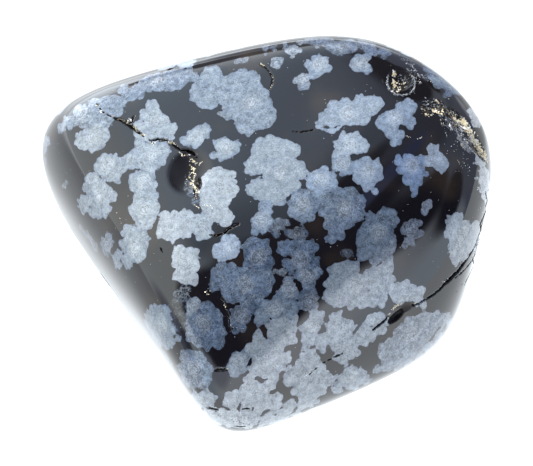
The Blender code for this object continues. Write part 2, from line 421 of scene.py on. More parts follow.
# How pale some snowflakes are beside the others, which have 1. This is partly their own paleness and partly
# painted light and shade: the palest, on the rims, carry a painted highlight, and the darkest carry painted
# shade
FLAKE_TONES = {
    1.60: ("right rim",),
    1.48: ("frosted rim under the nose", "right rim, lower"),
    1.32: ("right, arrow",),
    1.26: ("nose, lower", "left low, round"),
    1.24: ("beside the hollow", "centre left"),
    1.21: ("beside the hollow, upper edge", "nose rim", "nose", "low left of centre", "over the chip"),
    1.17: ("right end",),
    1.13: (
        "beside the top crack", "left column, lower", "centre right, top", "front, low", "right, star",
        "centre left, right half", "centre right, wing", "under the nose, left",
    ),
    1.06: (
        "left, tall", "left tip, lower", "under the top crack", "centre, large", "forked flake",
        "front, middle", "front, between the veins", "right, wide", "long flake",
        "centre, right of the gap",
    ),
    0.92: ("centre right, link", "left rim, lower"),
    0.84: (
        "top left, large", "low left, top", "top, under the band", "ridge, low", "ghost, upper",
        "centre, tail",
    ),
    0.76: ("right, lower",),
    0.72: (
        "left tip, upper", "right, drop", "top, leaf", "centre right, large", "centre, ringed",
        "right, twin",
    ),
    0.67: ("low left, lower", "dark centre, pear", "dark centre, lower"),
    0.63: ("left, small", "rim of the hollow", "dark ridge, rosette", "top edge, torn"),
    0.58: ("top edge, left", "top, round", "low left, large"),
    0.55: ("left tip, rim",),
    0.51: ("dark centre", "dark centre, tail", "ridge, low left"),
    0.47: ("right, split",),
    0.46: ("dark ridge, upper",),
    0.42: (
        "dark centre, crescent", "right shoulder, rim", "top edge, band", "top edge, dots",
        "left rim, low", "left, speck", "top edge, sliver",
    ),
    0.36: ("top left, speck",),
    0.32: ("dark centre, top", "centre, curl"),
    0.24: ("dark, speck", "left rim, lowest"),
    0.12: ("ghost, lower",),
}
# How much of a cold blue some snowflakes have
FLAKE_BLUES = {
    1.0: ("right, star", "right, drop", "right shoulder, rim"),
    0.5: (
        "right, arrow", "centre right, wing", "centre right, link", "centre, right of the gap",
        "forked flake", "top edge, band", "centre, tail", "top, under the band", "top, leaf",
        "top, round", "centre, ringed", "low left of centre", "right, split",
    ),
    0.25: ("centre right, top", "top, lobed", "long flake"),
}
# Snowflakes that lie so thin in the glass that it shows through them
THIN_FLAKES = ("ghost, upper", "ghost, lower", "rim of the hollow")
# Bare glass inside the snowflakes: windows as lobes, and veins by the pixels they pass, with width
GLASS_WINDOWS = (
    (240, 258, 2.2), (240, 263, 2.4), (278, 261, 3.4), (276, 265, 2.6), (260, 235, 1.8), (290, 256, 1.3),
    (364, 264, 3.6), (354, 156, 2.4), (401, 126, 2.2), (280, 209, 6), (275, 207, 3),
    (346, 313, 5), (354, 313, 3), (327, 367, 2), (261, 380, 3.2), (174.5, 335, 1.4),
)
GLASS_VEINS = {
    "nose to front": (((301, 318), (297, 326), (299, 337), (298, 345), (295, 356), (291, 368)), 3.2),
    "nose to front, wide": (((308, 312), (303, 316), (299, 322)), 6.5),
    "nose side vein": (((298, 345), (291, 348), (285, 350)), 3.4),
    "front, upper right": (((326, 317), (323, 326), (319, 332)), 3.0),
    "front, top": (((322, 305), (328, 311), (335, 309), (345, 307)), 3.6),
    "front, left": (((302, 352), (308, 349), (314, 345)), 1.8),
    "front, middle": (((318, 353), (325, 355), (331, 350)), 2.2),
    "over the oval flake": (((184, 391), (192, 388.5), (203, 388), (212, 390), (219, 395)), 1.7),
    "under the oval flake": (((184, 404), (193, 407.5), (204, 408.5), (213, 406), (219, 401)), 1.5),
    "nose rim, left vein": (((257, 426), (262, 412), (268, 410)), 1.6),
    "nose rim, right vein": (((276, 413), (283, 405), (286, 392)), 2.2),
    "nose rim, last vein": (((286, 417), (294, 411), (301, 409)), 1.4),
    "nose, right fork": (((281, 371), (280, 380), (282, 387), (289, 393)), 1.9),
    "nose, left fork": (((281, 383), (274, 391), (266, 395)), 1.8),
    "under the fork": (((288, 390), (286, 400), (281, 408)), 2.0),
    "under the fork, right": (((293, 395), (297, 400), (296, 409), (288, 415)), 2.4),
    "front, low right": (((329, 394), (334, 384), (338, 374), (343, 368), (356, 361)), 2.8),
    "front, lowest": (((318, 397), (328, 391)), 2.0),
    "front, short": (((351, 335), (357, 327), (361, 322)), 2.0),
    "chip to front": (((371, 344), (381, 338), (388, 330), (393, 322), (402, 317)), 4.5),
    "front, window": (((360, 310), (364, 316), (361, 323)), 3.8),
    "nose, top notch": (((264, 327), (265, 335)), 2.4),
    "nose, speck": (((249, 364), (251, 358)), 2.4),
    "nose, low speck": (((256, 377), (262, 379), (267, 378)), 2.4),
    "centre, notch": (((252, 177), (262, 177)), 2.0),
    "long flake, line": (((322, 126), (334, 126), (346, 125), (360, 125)), 1.0),
    "long to forked": (((372, 118), (379, 112), (386, 107)), 2.6),
    "left column, notch": (((122, 182), (128, 174), (134, 168)), 2.0),
    "left column, joint": (((131, 224), (137, 225)), 1.6),
    "beside the hollow, joint": (((197, 209), (203, 211), (207, 212)), 1.6),
    "right, lower edge": (((440, 326), (432, 337), (423, 345), (415, 352)), 1.2),
}

# Crumbs of broken glass: pixels that the trail passes, spread in px, how many, size in px, stretch,
# and the kind of trail
CRUMB_TRAILS = {
    "hollow": (
        (((180, 152), (184, 156)), 1.4, 14, 1.4, 2.4, "mixed"),
        (((187, 152), (191, 157), (195, 163)), 2.6, 60, 1.4, 3.6, "mixed"),
        (((199, 164), (202, 160)), 0.8, 12, 1.3, 2.6, "stained"),
        (((191, 166), (195, 169)), 1.6, 20, 1.9, 2.0, "cream"),
        (((190, 171), (189, 177), (193, 180), (196, 174), (193, 170)), 1.2, 56, 1.4, 3.2, "stained"),
        (((190, 181), (193, 184), (196, 186)), 1.8, 34, 2.0, 2.2, "cream"),
        (((195, 186), (198, 191)), 1.2, 20, 1.9, 2.0, "cream"),
        (((192, 193), (197, 191)), 0.8, 10, 1.3, 3.5, "pale"),
        (((187, 176), (190, 186), (193, 193)), 3.0, 40, 1.0, 3.0, "ash"),
        (((194, 196), (199, 197)), 1.8, 18, 1.4, 1.8, "mixed"),
        (((196, 192), (201, 198), (204, 205)), 3.0, 30, 1.0, 3.0, "ash"),
        (((194, 203), (199, 207)), 1.0, 12, 1.3, 1.8, "stained"),
        (((203, 203), (212, 206)), 2.0, 10, 1.3, 1.6, "cream"),
    ),
    "top crack": (
        (((96, 104), (98, 105)), 0.7, 5, 1.8, 1.4, "stained"),
        (((100, 110), (102, 111)), 0.7, 5, 1.8, 1.4, "pale"),
        (((112, 115), (114, 116)), 0.7, 5, 1.6, 1.4, "stained"),
        (((117, 118), (121, 118), (126, 121), (131, 124)), 1.2, 34, 1.9, 2.8, "stained"),
        (((126, 121), (130, 118), (132, 121)), 0.8, 12, 1.4, 2.8, "pale"),
        (((133, 117), (136, 115)), 0.5, 5, 1.5, 2.0, "stained"),
        (((132, 124), (137, 129), (140, 132), (144, 134)), 1.0, 30, 2.0, 2.4, "cream"),
        (((142, 133), (144, 134)), 0.9, 6, 2.6, 1.6, "cream"),
        (((150, 141), (154, 142)), 1.4, 8, 2.2, 1.4, "mixed"),
        (((160, 139), (166, 138)), 1.0, 8, 1.4, 2.2, "pale"),
        (((168, 140), (170, 142), (173, 141)), 1.4, 22, 2.6, 1.4, "cream"),
        (((174, 143), (178, 145)), 0.7, 5, 1.5, 1.8, "pale"),
    ),
    "round pit": (
        (((394, 70), (394, 76)), 1.3, 18, 2.8, 1.7, "cream"),
        (((393, 80), (395, 84), (394, 87)), 1.9, 26, 2.8, 1.7, "cream"),
        (((398, 86), (401, 89)), 1.5, 10, 2.2, 2.0, "cream"),
        (((391, 89), (395, 90), (399, 91)), 1.0, 14, 1.7, 2.2, "stained"),
        (((398, 83), (402, 83), (405, 82)), 0.8, 14, 1.5, 2.6, "stained"),
        (((402, 78), (405, 88)), 1.0, 5, 1.4, 1.2, "cream"),
        (
            (
                (388, 74), (387, 82), (389, 88), (395, 93), (402, 94), (409, 93), (414, 88), (415, 82),
                (413, 75),
            ),
            1.0, 300, 1.0, 4.0, "ash",
        ),
        (((399, 75), (407, 79), (411, 86)), 4.0, 60, 0.9, 4.0, "ash"),
        (((406, 62), (411, 64), (416, 69), (412, 70), (406, 68)), 1.0, 60, 0.9, 4.5, "ash"),
        (((400, 58), (408, 59), (416, 64)), 1.2, 30, 0.8, 5.0, "ash"),
        (((410, 72), (416, 78), (422, 84)), 2.0, 36, 0.8, 5.0, "ash"),
        (((408, 73), (413, 76)), 0.5, 8, 1.0, 4.0, "pale"),
        (((416, 73), (424, 76), (428, 80)), 2.4, 50, 0.8, 5.0, "ash"),
        (((430, 80), (433, 82)), 0.5, 5, 1.1, 3.0, "pale"),
    ),
    "shoulder scar": (
        (((435, 99), (438, 102)), 1.5, 14, 2.6, 1.5, "cream"),
        (((426, 104), (430, 102), (434, 100)), 0.5, 12, 1.0, 4.0, "pale"),
        (((420, 107), (425, 109)), 0.8, 12, 1.3, 3.5, "pale"),
        (((426, 107), (431, 108)), 1.5, 16, 1.0, 4.0, "ash"),
        (((424, 100), (430, 104), (437, 106)), 2.5, 40, 0.9, 4.5, "ash"),
        (((433, 109), (437, 111), (442, 113)), 1.6, 34, 2.6, 1.9, "cream"),
        (((442, 108), (443, 111)), 0.8, 8, 1.9, 1.9, "cream"),
        (((423, 112), (428, 114), (434, 114)), 1.7, 20, 1.3, 2.6, "stained"),
        (((442, 103), (447, 108), (447, 113)), 2.4, 24, 0.8, 3.5, "ash"),
        (((448, 97), (449, 98)), 0.4, 2, 1.4, 1.2, "pale"),
        (((440, 119), (443, 123), (445, 126)), 1.5, 26, 1.0, 4.5, "grey"),
        (((440, 114), (447, 120), (453, 128)), 3.4, 90, 0.9, 5.5, "ash"),
        (((450, 117), (458, 129), (466, 140), (474, 151)), 3.6, 170, 0.9, 6.0, "ash"),
        (((455, 127), (459, 136), (462, 144), (467, 150)), 1.3, 70, 1.2, 4.5, "ash"),
        (((445, 129), (447, 136)), 0.4, 14, 0.8, 5.0, "ash"),
        (((449, 124), (451, 129)), 0.9, 12, 1.5, 2.6, "pale"),
        (((448, 112), (453, 112), (456, 116)), 1.5, 26, 1.1, 4.0, "stained"),
        (((452, 115), (455, 118), (456, 121)), 1.5, 22, 2.4, 1.9, "cream"),
        (((456, 119), (459, 124), (462, 130)), 2.5, 70, 1.4, 5.0, "pale"),
        (
            ((461, 118), (465, 123), (469, 130), (474, 140), (479, 147), (486, 159)),
            2.6, 380, 2.4, 3.4, "cream",
        ),
        (((466, 126), (470, 134), (474, 143), (477, 150)), 1.0, 50, 1.5, 3.5, "rust"),
        (((458, 134), (463, 140), (470, 150)), 3.2, 120, 1.3, 5.5, "ash"),
        (((460, 139), (463, 147)), 0.8, 16, 1.1, 4.0, "pale"),
        (((472, 128), (477, 136)), 1.2, 20, 2.0, 2.4, "dark"),
        (((450, 140), (458, 152), (466, 165), (458, 173)), 9.0, 40, 1.1, 1.8, "pale"),
    ),
    "long crack": (
        (((392, 309), (395, 306), (399, 304), (401, 303)), 1.5, 34, 1.8, 2.0, "stained"),
        (((388, 314), (390, 312)), 0.8, 10, 1.5, 1.6, "stained"),
        (((413, 303), (418, 303)), 0.7, 12, 1.4, 2.2, "stained"),
        (((442, 281), (448, 278)), 1.0, 9, 1.5, 1.5, "pale"),
        (((480, 236), (476, 250), (470, 263)), 2.6, 40, 1.2, 4.0, "grey"),
        (((478, 206), (485, 214), (481, 224)), 1.8, 16, 1.3, 2.0, "pale"),
        (((475, 185), (480, 195), (482, 203)), 3.0, 24, 1.2, 1.6, "dark"),
        (((455, 292), (462, 283)), 0.6, 5, 1.4, 2.0, "dark"),
    ),
    "small cracks": (
        (((209, 234), (217, 234), (224, 232), (229, 228), (239, 223)), 1.0, 24, 1.7, 1.8, "rust"),
        (((215, 368), (221, 367), (228, 368)), 0.8, 16, 1.4, 2.4, "pale"),
        (((260, 62), (264, 65)), 0.6, 8, 2.0, 2.0, "stained"),
        (((270, 70), (273, 77), (272, 84), (270, 88)), 0.6, 14, 1.5, 2.2, "stained"),
        (((222, 298), (226, 307), (229, 318), (231, 330)), 1.4, 22, 1.1, 3.4, "grey"),
        (((232, 326), (239, 328), (246, 327)), 1.0, 8, 0.9, 2.4, "grey"),
        (((208, 286), (207, 293)), 1.6, 8, 1.6, 1.4, "stained"),
        (((306, 374), (312, 369)), 1.0, 10, 1.3, 1.6, "pale"),
        (((405, 134), (410, 136)), 0.8, 7, 1.2, 2.4, "pale"),
        (((417, 138), (422, 136)), 0.6, 8, 1.3, 3.0, "pale"),
        (((118, 210), (121, 222), (120, 232)), 1.6, 14, 1.2, 1.4, "rust"),
        (((212, 411), (225, 416), (244, 419)), 6.0, 50, 1.1, 2.2, "dark"),
        (((232, 420), (250, 425)), 2.0, 20, 1.4, 3.0, "dark"),
    ),
}
# The share of dark, rusty, stained, pale and ash-grey grains in each kind of trail
GRAIN_SHARES = {
    "stained": (0.14, 0.05, 0.56, 0.12, 0.13),
    "rust": (0.35, 0.45, 0.15, 0.05, 0.0),
    "cream": (0.05, 0.03, 0.72, 0.12, 0.08),
    "pale": (0.15, 0.0, 0.15, 0.45, 0.25),
    "mixed": (0.42, 0.03, 0.25, 0.12, 0.18),
    "grey": (0.38, 0.0, 0.06, 0.14, 0.42),
    "ash": (0.12, 0.0, 0.03, 0.07, 0.78),
    "dark": (0.85, 0.0, 0.05, 0.05, 0.05),
}


def setting(kind, name, description, default, **extra):
    """One of Blender's properties, with the wording that the sidebar shows."""
    return kind(name=name, description=description, default=default, **extra)


def colour_setting(name, description, default):
    kind = bpy.props.FloatVectorProperty
    return setting(kind, name, description, default, subtype="COLOR", size=3, min=0, max=8)


def share_setting(name, description, default):
    return setting(bpy.props.FloatProperty, name, description, default, subtype="FACTOR", min=0, max=1)


def length_setting(name, description, default_mm):
    kind = bpy.props.FloatProperty
    return setting(kind, name, description, default_mm * MM, unit="LENGTH", min=0, precision=5)


class ObsidianGlassSettings(bpy.types.PropertyGroup):
    """The black glass that the pebble is made of."""

    colour: colour_setting("Glass", "Colour of the thick black glass", (0.0035, 0.0032, 0.0040))
    thin_colour: colour_setting("Brown glass", "Colour where iron stains the glass", (0.016, 0.012, 0.009))
    roughness: share_setting("Polish", "Roughness of the polished glass", 0.045)
    broken_roughness: share_setting("Broken glass", "Roughness inside the breaks", 0.32)


class ObsidianFlakeSettings(bpy.types.PropertyGroup):
    """The grey mineral rosettes in the glass."""

    colour: colour_setting("Snowflake", "Colour of a rosette's body", (0.081, 0.103, 0.125))
    rim_colour: colour_setting("Rim", "Colour of a rosette's bluer rim", (0.048, 0.067, 0.100))
    dim_colour: colour_setting("Blue snowflake", "Colour of the dim and the blue ones", (0.067, 0.098, 0.160))
    core_colour: colour_setting("Core", "Colour of the bright grains at its core", (0.235, 0.250, 0.262))
    rim_width: length_setting("Rim width", "How far in the rim's colour fades", 0.20)
    scallop: length_setting("Scallop depth", "How far the rim bulges between its notches", 0.34)
    shine: share_setting("Shine", "Mirror strength of the snowflakes; glass has 0.5", 1.0)
    softness: length_setting("Edge softness", "Width over which a rim turns to glass", 0.045)
    hidden_spacing: length_setting("Spacing", "Between scattered rosettes on the hidden sides", 2.3)
    hidden_radius: length_setting("Radius", "Of the largest scattered rosettes", 1.9)


class ObsidianCrumbSettings(bpy.types.PropertyGroup):
    """The grains of broken glass in the chips and cracks."""

    cream: colour_setting("Cream grains", "Colour of the stained grains", (0.56, 0.49, 0.33))
    rust: colour_setting("Rusty grains", "Colour of the grains that iron stains most", (0.20, 0.11, 0.05))
    pale: colour_setting("Pale grains", "Colour of the clean bright grains", (0.58, 0.59, 0.60))
    ash: colour_setting("Ash-grey grains", "Colour of the dull splinters", (0.16, 0.172, 0.195))
    dark: colour_setting("Dark grains", "Colour of the glassy grains", (0.012, 0.011, 0.012))


class ObsidianStudioSettings(bpy.types.PropertyGroup):
    """The white tent, the lamp behind its cloth at the back left, the floor and the camera."""

    tent: colour_setting("Tent", "Light from the tent's cloth", (2.0, 2.47, 3.0))
    floor: colour_setting("Floor", "Colour of the floor", (0.10, 0.10, 0.10))
    floor_glow: colour_setting("Floor light", "Tint of the light through the floor", (0.94, 1.0, 1.05))
    key: colour_setting("Key light", "Colour of the lamp at the back left", (1.0, 0.97, 0.92))
    key_strength: setting(
        bpy.props.FloatProperty, "Key strength", "Power of that lamp, in watts per square metre", 9.4, min=0
    )
    distance: length_setting("Camera distance", "From the pebble's heart", 250.0)
    rise: setting(
        bpy.props.FloatProperty, "Camera rise", "Above level, as in the photograph", math.radians(50),
        subtype="ANGLE",
    )


class ObsidianSettings(bpy.types.PropertyGroup):
    """All that the sidebar's panel can change."""

    glass: bpy.props.PointerProperty(type=ObsidianGlassSettings)
    flakes: bpy.props.PointerProperty(type=ObsidianFlakeSettings)
    crumbs: bpy.props.PointerProperty(type=ObsidianCrumbSettings)
    studio: bpy.props.PointerProperty(type=ObsidianStudioSettings)


def way(compass, rise):
    """The unit vector at a compass angle and a rise, in degrees."""
    turn, lift = math.radians(compass), math.radians(rise)
    return np.array([math.cos(turn) * math.cos(lift), math.sin(turn) * math.cos(lift), math.sin(lift)])


def unit(vectors):
    """The vectors at a length of 1."""
    return vectors / np.linalg.norm(vectors, axis=-1, keepdims=True)


FACE_LOOKS = np.array([way(compass, rise) for compass, rise, _ in WORN_FACES.values()])
FACE_DISTANCES = np.array([distance for _, _, distance in WORN_FACES.values()])


def skin_points(looks):
    """Where lines that leave the heart along unit vectors meet the skin, before any chip."""
    lean = np.maximum(looks @ FACE_LOOKS.T / FACE_DISTANCES, 0.0)
    points = looks * ((lean**SHOULDER_POWER).sum(axis=1) ** (-1.0 / SHOULDER_POWER))[:, None]
    swell = np.array([noise.noise(Vector(point)) for point in points / SWELL_SPACING])
    return points + looks * (SWELL_HEIGHT * swell)[:, None]


def skin_normals(points):
    """The way that the skin faces at points on it, from the faces that are blended there."""
    nearness = np.maximum(points @ FACE_LOOKS.T / FACE_DISTANCES, 0.0)
    return unit((nearness ** (SHOULDER_POWER - 1.0) / FACE_DISTANCES) @ FACE_LOOKS)


def make_ball(subdivisions):
    """A closed ball of triangles in a bmesh, 1 mm in radius."""
    build = bmesh.new()
    bmesh.ops.create_icosphere(build, subdivisions=subdivisions, radius=1.0)
    return build


def looks_of(build):
    """The unit vectors from the heart to the mesh's points."""
    return unit(np.array([vertex.co for vertex in build.verts]))


@functools.cache
def base_skin():
    """The bare skin: a tree of its faces, its lowest corner and level, and its fit in the solid's box."""
    build = make_ball(BALL_SUBDIVISIONS)
    points = skin_points(looks_of(build))
    faces = [[vertex.index for vertex in face.verts] for face in build.faces]
    build.free()
    points[:, 2] = np.maximum(points[:, 2], points[:, 2].min() + REST_WEAR)
    low, high = points.min(axis=0), points.max(axis=0)
    box_low, box_high = (np.array(corner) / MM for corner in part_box("stone"))
    return {
        "tree": BVHTree.FromPolygons([Vector(point) for point in points], faces),
        "low": low,
        "level": low[2],
        "box_low": box_low,
        "scale": (box_high - box_low) / (high - low),
    }


def to_frame(points):
    """Points about the heart, in mm, to metres in the solid's frame, filling the same box."""
    skin = base_skin()
    return ((points - skin["low"]) * skin["scale"] + skin["box_low"]) * MM


def view_axes():
    """The photograph's right, up and towards-the-camera directions."""
    rise = bpy.context.scene.obsidian.studio.rise
    right = np.array([1.0, 0.0, 0.0])
    up = np.array([0.0, math.sin(rise), math.cos(rise)])
    towards = np.array([0.0, -math.cos(rise), math.sin(rise)])
    return right, up, towards


def plane_point(x, y):
    """The point in the plane through the heart, square to the view, that a pixel shows."""
    right, up, _ = view_axes()
    return right * (x - HEART_PIXEL[0]) / PIXELS_PER_MM - up * (y - HEART_PIXEL[1]) / PIXELS_PER_MM


def camera_point():
    """The camera stands over the middle of the photograph's frame."""
    towards = view_axes()[2]
    distance = bpy.context.scene.obsidian.studio.distance / MM
    return plane_point(PHOTO_WIDTH / 2, PHOTO_HEIGHT / 2) + towards * distance


INWARD_STEPS = 60


def point_at_pixel(x, y):
    """The point of the bare skin that a pixel shows. Past the outline, it steps in to the heart."""
    eye = camera_point()
    for step in range(INWARD_STEPS):
        share = 1.0 - step / INWARD_STEPS
        aim = plane_point(
            HEART_PIXEL[0] + (x - HEART_PIXEL[0]) * share, HEART_PIXEL[1] + (y - HEART_PIXEL[1]) * share
        )
        found = base_skin()["tree"].ray_cast(Vector(eye), Vector(aim - eye))[0]
        if found is not None:
            return np.array(found)
    raise RuntimeError(f"pixel {x}, {y} shows no part of the pebble")


# A lobe is a ball that the skin cuts. Seen aslant it looks squashed along the slope
Lobe = namedtuple("Lobe", "centre radius slope squash flake")
LEAST_SQUASH = 0.5


def lobe_at_pixel(x, y, radius, flake):
    """The lobe that has its middle at a pixel, squashed as the slope there shows it."""
    centre = point_at_pixel(x, y)
    normal = skin_normals(centre[None])[0]
    sight = unit(camera_point() - centre)
    facing = float(normal @ sight)
    slope = sight - normal * facing
    slope = slope / max(np.linalg.norm(slope), 1e-6)
    return Lobe(centre, radius / PIXELS_PER_MM, slope, min(max(facing, LEAST_SQUASH), 1.0), flake)


SCATTER_TRIES = 6000
# The smallest scattered rosette beside the largest, and how much the draw leans to small ones
SMALLEST_ROSETTE = 0.35
LEAN_TO_SMALL = 1.3
# A scattered rosette's parts beside its radius: its core, how far out the lobes lie, and their size
CORE_SHARE = 0.62
LOBE_COUNT = (5, 8)
LOBE_DISTANCE = (0.45, 0.72)
LOBE_SIZE = (0.26, 0.46)
# Skin that faces the camera by less than this, as a cosine, counts as hidden
HIDDEN_FACING = 0.06


def scattered_lobes(first_flake, settings):
    """Rosettes over the sides that the photograph doesn't show, each a core with lobes round it."""
    draw = random.Random(ROSETTE_SEED)
    eye = camera_point()
    lobes, centres = [], []
    for _ in range(SCATTER_TRIES):
        look = unit(np.array([draw.gauss(0, 1) for _ in range(3)]))
        centre = skin_points(look[None])[0]
        normal = skin_normals(centre[None])[0]
        size = draw.uniform(SMALLEST_ROSETTE, 1.0) ** LEAN_TO_SMALL
        spacing = settings.hidden_spacing / MM * (0.45 + 0.55 * size)
        if normal @ unit(eye - centre) > HIDDEN_FACING:
            continue
        if centres and min(np.linalg.norm(np.array(centres) - centre, axis=1)) < spacing:
            continue
        centres.append(centre)
        flake = first_flake + len(centres)
        radius = settings.hidden_radius / MM * size
        side = unit(np.cross(normal, [0.3, 0.5, 0.8]))
        other = np.cross(normal, side)
        lobes.append(Lobe(centre, radius * CORE_SHARE, side, 1.0, flake))
        count = draw.randint(*LOBE_COUNT)
        for index in range(count):
            turn = math.tau * (index + draw.uniform(-0.3, 0.3)) / count
            reach = radius * draw.uniform(*LOBE_DISTANCE)
            middle = centre + (side * math.cos(turn) + other * math.sin(turn)) * reach
            middle = skin_points(unit(middle)[None])[0]
            lobes.append(Lobe(middle, radius * draw.uniform(*LOBE_SIZE), side, 1.0, flake))
    return lobes


# How far outside a snowflake's rim its distance is still measured, in mm
FIELD_REACH = 0.8


def lobe_depths(points, lobe):
    """Which points are near a lobe, and how far inside its rim each of those is."""
    reach = lobe.radius / lobe.squash + FIELD_REACH
    near = np.flatnonzero((np.abs(points - lobe.centre) < reach).all(axis=1))
    offset = points[near] - lobe.centre
    along = offset @ lobe.slope
    across = np.maximum((offset**2).sum(axis=1) - along**2, 0.0)
    return near, lobe.radius - np.sqrt(across + (along * lobe.squash) ** 2)


def near_path(points, path, reach):
    """Which points lie in the box round a path, or at most this far outside of it."""
    within = (points > path.min(axis=0) - reach) & (points < path.max(axis=0) + reach)
    return np.flatnonzero(within.all(axis=1))


def path_distances(points, path):
    """How far points are from a path, and what share along it their nearest place is."""
    starts, ends = path[:-1], path[1:]
    lengths = np.linalg.norm(ends - starts, axis=1)
    run = np.concatenate([[0.0], np.cumsum(lengths)])
    best = np.full(len(points), 1e9)
    share = np.zeros(len(points))
    for start, end, length, before in zip(starts, ends, lengths, run):
        part = np.clip((points - start) @ (end - start) / length**2, 0.0, 1.0)
        gap = np.linalg.norm(points - start - part[:, None] * (end - start), axis=1)
        closer = gap < best
        best[closer] = gap[closer]
        share[closer] = (before + part[closer] * length) / run[-1]
    return best, share


def taper(share, slope, blunt):
    """How wide a vein or a crack is along its run: full in the middle, and blunt at both ends."""
    return np.sqrt(np.clip(np.minimum(share, 1 - share) * slope + blunt, 0, 1))


def skin_path(pixels):
    """The path over the skin that a list of pixels shows, in short steps."""
    corners = np.array(pixels, float)
    steps = [corners[0]]
    for start, end in zip(corners[:-1], corners[1:]):
        count = max(2, int(np.linalg.norm(end - start) / 4))
        steps += [start + (end - start) * index / count for index in range(1, count + 1)]
    return np.array([point_at_pixel(x, y) for x, y in steps])


def per_flake(table, others, count, least, most):
    """Each snowflake's value from a table, or the others' value where the table leaves it out.

    The scattered ones, which come after the named ones, get random values between two.
    """
    draw = random.Random(TONE_SEED)
    chosen = {name: value for value, names in table.items() for name in names}
    named = [chosen.get(name, others) for name in SNOWFLAKES]
    return np.array(named + [draw.uniform(least, most) for _ in range(count - len(named))])


class SnowflakePattern:
    """Where the snowflakes, the veins and the windows of bare glass lie."""

    def __init__(self, settings):
        self.lobes = []
        for flake, lobes in enumerate(SNOWFLAKES.values()):
            self.lobes += [lobe_at_pixel(x, y, radius, flake) for x, y, radius in lobes]
        self.lobes += scattered_lobes(len(SNOWFLAKES), settings)
        self.windows = [lobe_at_pixel(x, y, radius, 0) for x, y, radius in GLASS_WINDOWS]
        self.veins = [
            (skin_path(pixels), width / 2 / PIXELS_PER_MM) for pixels, width in GLASS_VEINS.values()
        ]
        self.cores = {lobe.flake: lobe.centre for lobe in reversed(self.lobes)}

    def measure(self, points):
        """How deep each point is in a snowflake, how far from a seam and the core, and in which one."""
        inside = np.full(len(points), -FIELD_REACH)
        second = np.full(len(points), -FIELD_REACH)
        flake = np.zeros(len(points), int)
        for lobe in self.lobes:
            near, depth = lobe_depths(points, lobe)
            better = depth > inside[near]
            second[near] = np.where(better, inside[near], np.maximum(second[near], depth))
            inside[near[better]] = depth[better]
            flake[near[better]] = lobe.flake
        seam = inside - second
        for window in self.windows:
            near, depth = lobe_depths(points, window)
            inside[near] = np.minimum(inside[near], -depth)
        for path, half_width in self.veins:
            near = near_path(points, path, FIELD_REACH)
            gap, share = path_distances(points[near], path)
            inside[near] = np.minimum(inside[near], gap - half_width * taper(share, 6, 0.25))
        centres = np.array([self.cores.get(index, np.zeros(3)) for index in range(max(self.cores) + 1)])
        return inside, seam, np.linalg.norm(points - centres[flake], axis=1), flake


class Chip:
    """One scoop: an ellipsoid that dips into the skin."""

    def __init__(self, end_a, end_b, width, depth, ridges, brightness):
        start, end = skin_points(np.array([way(*end_a), way(*end_b)]))
        middle = skin_points(unit(start + end)[None])[0]
        self.upward = skin_normals(middle[None])[0]
        along = unit(end - start)
        along = unit(along - self.upward * (along @ self.upward))
        across = np.cross(self.upward, along)
        rim_share = math.sqrt(1.0 - SUNK_SHARE**2)
        half_height = depth / (1.0 - SUNK_SHARE)
        half_length = np.linalg.norm(end - start) / 2 / rim_share
        self.centre = middle + self.upward * half_height * SUNK_SHARE
        self.axes = np.array([along, across, self.upward])
        self.halves = np.array([half_length, width / 2 / rim_share, half_height])
        self.depth = depth
        self.ridges = ridges
        self.brightness = brightness

    def locate(self, points):
        """Points in the ellipsoid's own terms, where its skin is 1 from the middle."""
        return (points - self.centre) @ self.axes.T / self.halves

    def drops(self, points):
        """How deep each point sinks: to the scoop's own floor, or softly where it is polished."""
        local = self.locate(points)
        span = np.hypot(local[:, 0], local[:, 1])
        floor = -np.sqrt(np.clip(1.0 - span**2, 0.0, 1.0))
        drop = np.where(span < 1.0, np.maximum(local[:, 2] - floor, 0.0), 0.0) * self.halves[2]
        if not self.ridges:
            drop = self.depth * np.clip(1.0 - (span / HOLLOW_REACH) ** 2, 0.0, 1.0) ** 2
        # The pebble's far side lies many half heights away, and stays as it is
        return np.where(np.abs(local[:, 2]) < 3.0, drop, 0.0)


# The fine mesh runs out this far past a chip's rim, as a share, and past a crack's, in mm
CHIP_MARGIN = 1.12
CRACK_MARGIN = 0.10
# How far from a crack's path its points are looked at, in mm
CRACK_REACH = 0.5
# What the breaks leave on the skin: splintered glass, the depth of a polished hollow, how much of a
# break is bright, the place along it and across it in mm, and the open part of a crack
MARKS = ("broken", "hollow", "bright", "run", "side", "cracked")


